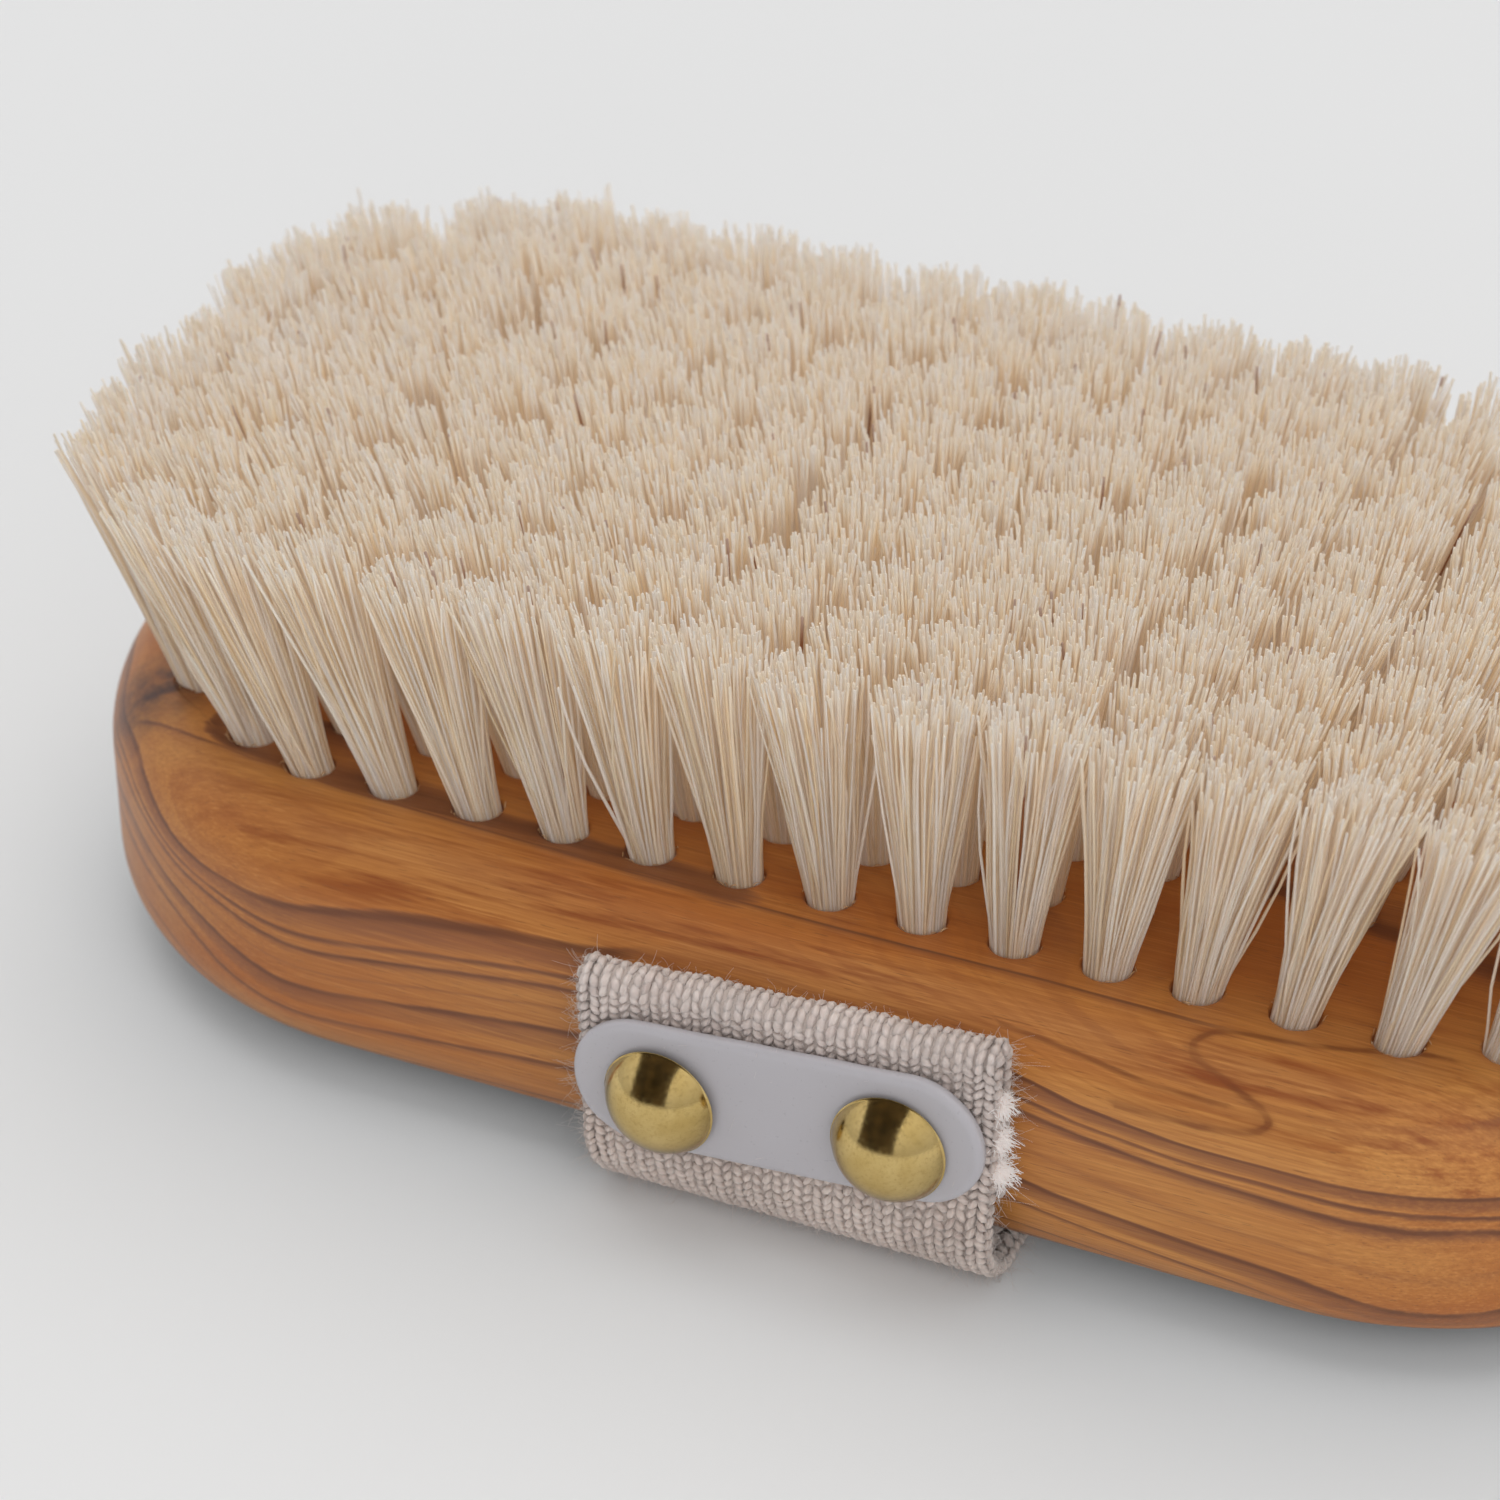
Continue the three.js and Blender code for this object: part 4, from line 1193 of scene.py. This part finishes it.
def stitch_colors(s, x, rs):
    """Cream, rosier and lighter from low on the outer run to the middle, with blotches and a few
    darker stitches. The lightening there is painted light.
    """
    tone = rs.uniform(0.93, 1.05, len(s))
    blotch = 0.96 + 0.06 * np.sin(s * 0.42 + 1.3) * np.sin(x * 0.37)
    # painted light: from a little above the bend onwards the cream is lighter, making up for the
    # shade there, and also rosier
    low = np.clip((s - (BEND_START - 8.0)) / 6.0, 0, 1)[:, None]
    upper_cream, lower_cream_rosy_painted_lighter = np.array([0.90, 0.785, 0.735]), np.array([0.95, 0.815, 0.745])
    color = (upper_cream * (1 - low) + lower_cream_rosy_painted_lighter * low) * (tone * blotch)[:, None]
    dark = rs.random(len(s)) < 0.05
    return np.where(dark[:, None], color * np.array([0.86, 0.84, 0.84]), color)


def strap_stitches(side, rs, first):
    """Plump slanted yarn loops: verts, list of quads, colours, yarn_u, yarn_v."""
    places = stitch_places(rs)
    count = len(places)
    s, across, face, slant_sign, draw, size = places.T
    on_edge = face == 0
    x = across * (half_width(s) - 0.10) + np.where(on_edge, 0, rs.normal(0, 0.04, count))
    length = np.where(on_edge, 0.62, 0.62 * size * squeeze(s, face) ** 0.6) * (1 + 0.12 * draw)
    slant = np.radians(np.where(on_edge, 90.0, 41.0) + rs.normal(0, 9, count)) * slant_sign
    radius = np.where(on_edge, 0.40, 0.315 * size) * (1 + rs.normal(0, 0.08, count))
    depth = np.where(on_edge, 0.34, 0.30) * (1 + rs.normal(0, 0.08, count))

    def spread(values):
        return values[:, None, None]

    along = np.linspace(-1, 1, STITCH_RINGS)[None, :, None]
    plump = np.clip(1 - np.abs(along) ** 2.6, 0.06, 1) ** 0.55
    angle = (np.arange(STITCH_SIDES) * 2 * np.pi / STITCH_SIDES)[None, None, :]
    sideways = spread(radius) * plump * np.cos(angle)
    outward = spread(depth) * plump * np.sin(angle)
    lengthwise = spread(length) * along + 0 * sideways
    cos, sin = np.cos(spread(slant)), np.sin(spread(slant))
    # edge loops wrap round the selvage: their long axis runs through the thickness
    edge = spread(on_edge)
    point_s = spread(s) + np.where(edge, sideways, lengthwise * cos - sideways * sin)
    point_x = spread(x) + np.where(edge, np.sign(spread(across)) * (outward + 0.05),
                                   lengthwise * sin + sideways * cos)
    lift = spread(face) * (CORE_HALF + 0.10 - 0.20 * along ** 2) + outward
    out = np.where(edge, lengthwise, lift)
    point_s = np.clip(point_s, -0.35, STRAP_END)
    verts = strap_point(point_s.ravel(), point_x.ravel(), out.ravel(), side)

    quads = [ring_quads(STITCH_RINGS, STITCH_SIDES, count, first)]
    start = first + (np.arange(count) * STITCH_RINGS * STITCH_SIDES)[:, None]
    end = start + (STITCH_RINGS - 1) * STITCH_SIDES
    for ring, corners in ((start, [0, 1, 2, 3]), (start, [0, 3, 4, 5]),
                          (end, [3, 2, 1, 0]), (end, [5, 4, 3, 0])):
        quads.append(ring + np.array(corners))

    # painted shade: yarn is darker where it dives between its neighbours and on its side turned
    # towards the band
    painted_stitch_shade = ((1 - 0.30 * np.abs(along) ** 2.2)
             * (0.86 + 0.14 * np.clip(spread(face) * np.sin(angle) + edge, 0, 1)))
    colors = stitch_colors(s, x, rs)[:, None, None, :] * painted_stitch_shade[..., None]
    yarn_v = np.broadcast_to(angle, lengthwise.shape)
    return (verts, quads, colors.reshape(-1, 3), (lengthwise + spread(draw)).ravel(),
            yarn_v.ravel())


def blend_strap(obj):
    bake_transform(obj)


FUZZ_RINGS = 6
FUZZ_ALONG = np.linspace(0, 1, FUZZ_RINGS)[None, :, None]


def surface_fuzz(side, rs):
    """Fine loose fibres along the edges and on the outer face: paths, radii."""
    edge_count, face_count = 2400, 8500
    count = edge_count + face_count
    edge_s = rs.uniform(0.2, STRAP_END, edge_count)
    edge_x = np.sign(rs.normal(0, 1, edge_count)) * (half_width(edge_s) + 0.1)
    edge_out = rs.uniform(-0.6, 0.6, edge_count)
    face_s = rs.uniform(FOLD_START, STRAP_END, face_count)
    face_x = rs.uniform(-1, 1, face_count) * half_width(face_s)
    s, x = np.r_[edge_s, face_s], np.r_[edge_x, face_x]
    out = np.r_[edge_out, np.full(face_count, 0.75)]
    roots = strap_point(s, x, out, side)
    outward = unit(strap_point(s, x, out + 0.2, side) - roots, 1e-9)
    on_edge = np.arange(count) < edge_count
    outward = np.where(on_edge[:, None], np.c_[np.sign(x), np.zeros((count, 2))], outward)
    length = rs.gamma(3.0, 0.28, count) * np.where(on_edge, 1.1, 0.62)
    length = np.clip(length * 0.85, 0.3, 1.6)[:, None, None]
    heading = unit(outward + rs.normal(0, 0.75, (count, 3)))
    curl = rs.normal(0, 0.9, (count, 3))
    twist = rs.normal(0, 0.8, (count, 3))
    paths = roots[:, None] + length * (
        heading[:, None] * FUZZ_ALONG + curl[:, None] * FUZZ_ALONG ** 2 * 0.55
        + twist[:, None] * FUZZ_ALONG ** 3 * 0.35)
    return paths, rs.uniform(0.011, 0.021, (count, 1)) * np.linspace(1, 0.5, FUZZ_RINGS)


def frayed_tuft(side, z, count, reach, rs):
    """Coarse white fibres that stick out to the right: paths, radii."""
    roots = (np.array([STRAP_X + END_W / 2 + 0.05, side * (Y_OUT - 0.35), z])
             + rs.normal(0, 1, (count, 3)) * np.array([0.15, 0.40, 0.42]))
    heading = np.array([1.0, -0.1, rs.uniform(-0.4, 0.1)]) + rs.normal(0, 0.42, (count, 3))
    heading = unit(heading)
    length = (rs.uniform(0.55, 1.0, count) * reach)[:, None, None]
    curl = rs.normal(0, 1.0, (count, 3)) + np.array([-0.1, 0, -0.35])
    paths = roots[:, None] + length * (
        heading[:, None] * FUZZ_ALONG + curl[:, None] * FUZZ_ALONG ** 2 * 0.5)
    return paths, rs.uniform(0.035, 0.065, (count, 1)) * np.linspace(1, 0.6, FUZZ_RINGS)


def build_fuzz(side, name, rs):
    parts = [surface_fuzz(side, rs)]
    fine_count = len(parts[0][0])
    if side < 0:
        parts += [frayed_tuft(side, z, count, reach, rs) for z, count, reach in FRAYS]
    paths, radii = (np.concatenate(part) for part in zip(*parts))
    paths[..., 2] = np.maximum(paths[..., 2], -BACK_Z + 0.03)
    white = np.zeros(len(paths))
    white[fine_count:] = 1.0
    fuzz = make_mesh(name, *fibres(paths, radii), FIBRE,
                     floats={"white": np.repeat(white, FUZZ_RINGS * 3)})
    blend_strap(fuzz)


def build_strap(side, name, seed, nodes):
    rs = np.random.default_rng(seed)
    core, core_quads = strap_core(side)
    stitches, stitch_quads, colors, yarn_u, yarn_v = strap_stitches(side, rs, first=len(core))
    core_color = np.tile([0.66, 0.57, 0.525], (len(core), 1))
    core_zero = np.zeros(len(core))
    verts = np.concatenate([core, stitches])
    verts[:, 2] = np.maximum(verts[:, 2], -BACK_Z + 0.02)     # stays above the floor
    strap = make_mesh(name, verts, np.concatenate(core_quads + stitch_quads), None, COTTON,
                      floats={"yarn_u": np.concatenate([core_zero, yarn_u]),
                              "yarn_v": np.concatenate([core_zero, yarn_v])},
                      colors={"tint": np.clip(np.concatenate([core_color, colors]), 0, 0.95)})
    face_outwards(strap.data)
    blend_strap(strap)
    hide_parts(*nodes)
    build_fuzz(side, name + "_fuzz", rs)


build_strap(-1, "strap_webbing_front", 41, ["strap_front_end", "strap_front_run", "strap_palm"])
build_strap(1, "strap_webbing_back", 42, ["strap_back_end", "strap_back_run"])


# ---------------------------------------------------------------- plates
PLATE_TILT = {-1: 0.078, 1: -0.02}      # turn of each side's plate and nails in x-z, radians
PLATE_CENTRE = (PLATE_LO + PLATE_HI) / 2


def tilted(x, z, side):
    cos, sin = math.cos(PLATE_TILT[side]), math.sin(PLATE_TILT[side])
    return x * cos - z * sin, x * sin + z * cos


def plate_outline(half_x, end_count=40, side_count=30):
    """Spine points and outward normals of a plate with round ends, in x and z."""
    spine, normals = [], []
    for sign in (1, -1):
        angle = np.linspace(-np.pi / 2, np.pi / 2, end_count) + (0 if sign > 0 else np.pi)
        spine.append(np.c_[np.full(end_count, sign * half_x), np.zeros(end_count)])
        normals.append(np.c_[np.cos(angle), np.sin(angle)])
        x = np.linspace(sign * half_x, -sign * half_x, side_count)[1:-1]
        spine.append(np.c_[x, 0 * x])
        normals.append(np.tile([0, float(sign)], (len(x), 1)))
    return np.concatenate(spine), np.concatenate(normals)


def plate_profile(radius, thickness):
    """(distance in from the rim, depth): face towards the block, rim, outer face."""
    arc = [math.radians(angle) for angle in np.linspace(0, 90, 9)[1:]]
    shoulder = thickness - 0.46
    face = thickness - 0.02
    return ([(radius - 0.25, 0.0), (radius - 1.5, 0), (radius - 3, 0), (1.2, 0), (0.35, 0.0),
             (0.08, 0.06), (0.0, 0.22), (0.0, shoulder)]
            + [(0.80 * (1 - math.cos(a)), shoulder + 0.46 * math.sin(a)) for a in arc]
            + [(1.0, thickness), (1.5, thickness - 0.01), (2.3, face), (3.2, face), (4.2, face),
               (radius - 0.25, face)])


def build_plate(node, side, name, seed):
    lo, hi = cad_box(node)
    centre_x, _, centre_z = (lo + hi) / 2
    radius = (hi[2] - lo[2]) / 2
    spine, normals = plate_outline((hi[0] - lo[0]) / 2 - radius)
    count = len(spine)
    profile = plate_profile(radius, hi[1] - lo[1])
    phase = np.random.default_rng(seed).uniform(0, 6, 4)
    inner_y = abs(lo[1] if side > 0 else hi[1])
    verts = []
    for inset, depth in profile:
        ring = spine + normals * (radius - inset)
        # the rim wanders by a few hundredths
        wander = (0.05 * np.sin(ring[:, 0] * 0.9 + phase[0]) * np.sin(ring[:, 1] * 0.8 + phase[1])
                  * (inset < 1.0))
        ring = ring + normals * wander[:, None]
        x, z = ring.T
        # a slight bow over the length and height
        bow = 0.10 * np.cos(x / 9.4 * np.pi) * np.cos(z / 11.2 * np.pi) + 0.05 * (z / 5.6)
        turned_x, turned_z = tilted(x, z, side)
        verts.append(np.c_[centre_x + turned_x, side * (inner_y + depth + bow),
                           centre_z + turned_z])
    quads = [ring_quads(len(profile), count)]
    # close both faces with strips between the upper points and their mirror points below
    rim = spine + normals
    upper = sorted((k for k in range(count) if normals[k, 1] > 1e-9), key=lambda k: -rim[k, 0])
    lower = [int(np.argmin(np.hypot(rim[:, 0] - rim[k, 0], rim[:, 1] + rim[k, 1])))
             for k in upper]
    strips = np.c_[upper[:-1], upper[1:], lower[1:], lower[:-1]]
    quads += [strips, (len(profile) - 1) * count + strips]
    plate = make_mesh(name, np.concatenate(verts), np.concatenate(quads), None, PLASTIC)
    face_outwards(plate.data, close=True)
    shade_smooth(plate.data)
    on_brush(plate, "white_plastic", node)


build_plate("front_plate", -1, "plate_front", 3)
build_plate("back_plate", 1, "plate_back", 4)


# ---------------------------------------------------------------- dome nails
NAIL_SIDES = 72
DOME_HEIGHT = 3.2
NAIL_TIP = -12.4                        # height of the point, counted from the dome's rim


def nail_profile(radius):
    """(radius, height) from near the dome's top, under its rim and down the shank."""
    sphere_r = (radius * radius + DOME_HEIGHT * DOME_HEIGHT) / (2 * DOME_HEIGHT)
    dome_angle = math.acos((sphere_r - DOME_HEIGHT) / sphere_r)
    dome = [(sphere_r * math.sin(a), DOME_HEIGHT - sphere_r * (1 - math.cos(a)))
            for a in np.linspace(0, dome_angle * 0.985, 26)[1:]]
    rim = [(radius, 0.10), (radius * 0.985, 0.015), (radius * 0.955, 0.0), (radius * 0.92, 0.05),
           (radius * 0.86, 0.35), (radius * 0.6, 0.9)]
    shank = [(1.2, 1.2), (0.82, 0.9), (0.8, 0.0), (0.8, -4.0), (0.8, -10.2), (0.45, -11.6),
             (0.06, NAIL_TIP + 0.05)]
    return dome + rim + shank


def build_nail(node, side, name, tilt):
    lo, hi = cad_box(node)
    x, _, z = (lo + hi) / 2 - PLATE_CENTRE
    offset_x, offset_z = tilted(x, z, side)
    centre_x, centre_z = PLATE_CENTRE[0] + offset_x, PLATE_CENTRE[2] + offset_z
    rim_y = abs(lo[1] if side < 0 else hi[1]) - DOME_HEIGHT
    profile = nail_profile((hi[0] - lo[0]) / 2)
    angle = np.arange(NAIL_SIDES) * 2 * np.pi / NAIL_SIDES
    verts = [np.array([[0, 0, DOME_HEIGHT]])]
    for radius, height in profile:
        wobble = 1 + (0.004 * np.sin(3 * angle + centre_x) if radius > 2 else 0)
        verts.append(np.c_[radius * np.cos(angle) * wobble, radius * np.sin(angle) * wobble,
                           np.full(NAIL_SIDES, height)])
    verts.append(np.array([[0, 0, NAIL_TIP]]))
    turn = Matrix.Rotation(tilt[0], 3, "X") @ Matrix.Rotation(tilt[1], 3, "Y")
    verts = np.concatenate(verts) @ np.array(turn).T
    placed = np.c_[centre_x + verts[:, 0], side * (rim_y + verts[:, 2]), centre_z + verts[:, 1]]
    ring = np.arange(NAIL_SIDES)
    after = (ring + 1) % NAIL_SIDES
    last = 1 + (len(profile) - 1) * NAIL_SIDES
    tip = np.full(NAIL_SIDES, len(verts) - 1)
    tris = np.concatenate([np.c_[0 * ring, 1 + ring, 1 + after],
                           np.c_[last + ring, tip, last + after]])
    quads = ring_quads(len(profile), NAIL_SIDES, first=1)[:, REVERSED]
    if side > 0:
        quads, tris = quads[:, ::-1], tris[:, ::-1]
    on_brush(make_mesh(name, placed, quads, tris, BRASS), "brass", node)


build_nail("front_left_nail", -1, "nail_front_left", (0.02, -0.03))
build_nail("front_right_nail", -1, "nail_front_right", (-0.015, 0.025))
build_nail("back_left_nail", 1, "nail_back_left", (0.02, 0.02))
build_nail("back_right_nail", 1, "nail_back_right", (-0.02, -0.015))


# ---------------------------------------------------------------- floor, light, camera (metres)
def stage_mesh(name, verts, faces, material):
    mesh = bpy.data.meshes.new(name)
    mesh.from_pydata(verts, [], faces)
    mesh.materials.append(material)
    obj = link(name, mesh)
    return obj


def build_floor(half=6.0):
    corners = [(-half, -half, 0), (half, -half, 0), (half, half, 0), (-half, half, 0)]
    floor = stage_mesh("floor", corners, [(0, 1, 2, 3)], floor_material())
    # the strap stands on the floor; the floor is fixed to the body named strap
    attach(floor, "strap")


def build_world():
    """Studio sky, paler above, brighter in reflections and where it is seen directly."""
    world = bpy.data.worlds.new("studio")
    scene.world = world
    world.use_nodes = True
    w = NodeTree(world.node_tree)
    background = w.tree.nodes["Background"]
    direction = w.add("TexCoord").outputs["Generated"]
    up = w.add("SeparateXYZ", direction).outputs["Z"]
    sky = w.ramp(up, [(0.0, (0.58, 0.58, 0.59)), (0.75, (1.0, 0.995, 0.985))])
    w.put(background.inputs["Color"], sky)
    rays = w.add("LightPath").outputs
    base, glossy_extra, seen_extra = 0.50, 0.42, 0.84
    strength = w.math("MULTIPLY_ADD", rays["Is Glossy Ray"], glossy_extra, base)
    strength = w.math("MULTIPLY_ADD", rays["Is Camera Ray"], seen_extra, strength)
    w.put(background.inputs["Strength"], strength)


def add_sun(name, direction, strength, degrees):
    light = bpy.data.lights.new(name, "SUN")
    light.energy = strength
    light.angle = math.radians(degrees)
    sun = bpy.data.objects.new(name, light)
    sun.rotation_euler = Vector(direction).normalized().to_track_quat("-Z", "Y").to_euler()
    scene.collection.objects.link(sun)
    sun.visible_glossy = False


def build_card():
    """Dark curved card over the front that only reflections see."""
    m = Material("card")
    color = m.ramp(m.noise(scale=0.006), [(0.3, (0.03, 0.026, 0.022)), (0.7, (0.10, 0.075, 0.05))])
    radius, centre_x = 0.56, -0.205
    verts = []
    for angle in [math.radians(degrees) for degrees in range(5, 121, 5)]:
        half = 0.37 + 0.10 * (1 - math.cos(angle)) * 0.6
        verts += [(centre_x + sign * half, -radius * math.cos(angle), radius * math.sin(angle))
                  for sign in (-1, 1)]
    faces = [(i, i + 1, i + 3, i + 2) for i in range(0, len(verts) - 2, 2)]
    card = stage_mesh("card", verts, faces, m.finish(m.make("Emission", Color=color)))
    card.visible_camera = False
    card.visible_diffuse = False
    card.visible_transmission = False
    card.visible_shadow = False


def build_camera():
    camera = bpy.data.cameras.new("camera")
    camera_object = link("camera", camera)
    scene.camera = camera_object
    right = Vector((0.91149, 0.41133, 0.00042)).normalized()
    forward = Vector((-0.34685, 0.76916, -0.53673)).normalized()
    up = right.cross(forward).normalized()
    right = forward.cross(up).normalized()
    turn = Matrix((right, up, -forward)).transposed()
    place = Vector((0.10753, -0.28258, 0.21106 + BACK_Z * 0.001))
    camera_object.matrix_world = Matrix.Translation(place) @ turn.to_4x4()
    camera.sensor_width = 36.0
    camera.sensor_fit = "HORIZONTAL"
    camera.lens = 105.31
    camera.clip_start = 0.01
    camera.clip_end = 50.0
    focus = link("focus", None)
    focus.location = (0.012, -0.0345, (20.0 + BACK_Z) * 0.001)
    camera.dof.use_dof = True
    camera.dof.focus_object = focus
    camera.dof.aperture_fstop = 40.0


build_floor()
build_world()
add_sun("key", direction=(0.10, -0.34, -1.0), strength=1.25, degrees=70)
add_sun("fill", direction=(-0.55, 0.75, -0.62), strength=0.72, degrees=60)
build_card()
build_camera()

scene.view_settings.view_transform = "Standard"
scene.view_settings.look = "None"
scene.view_settings.exposure = 0.0
scene.view_settings.gamma = 1.0
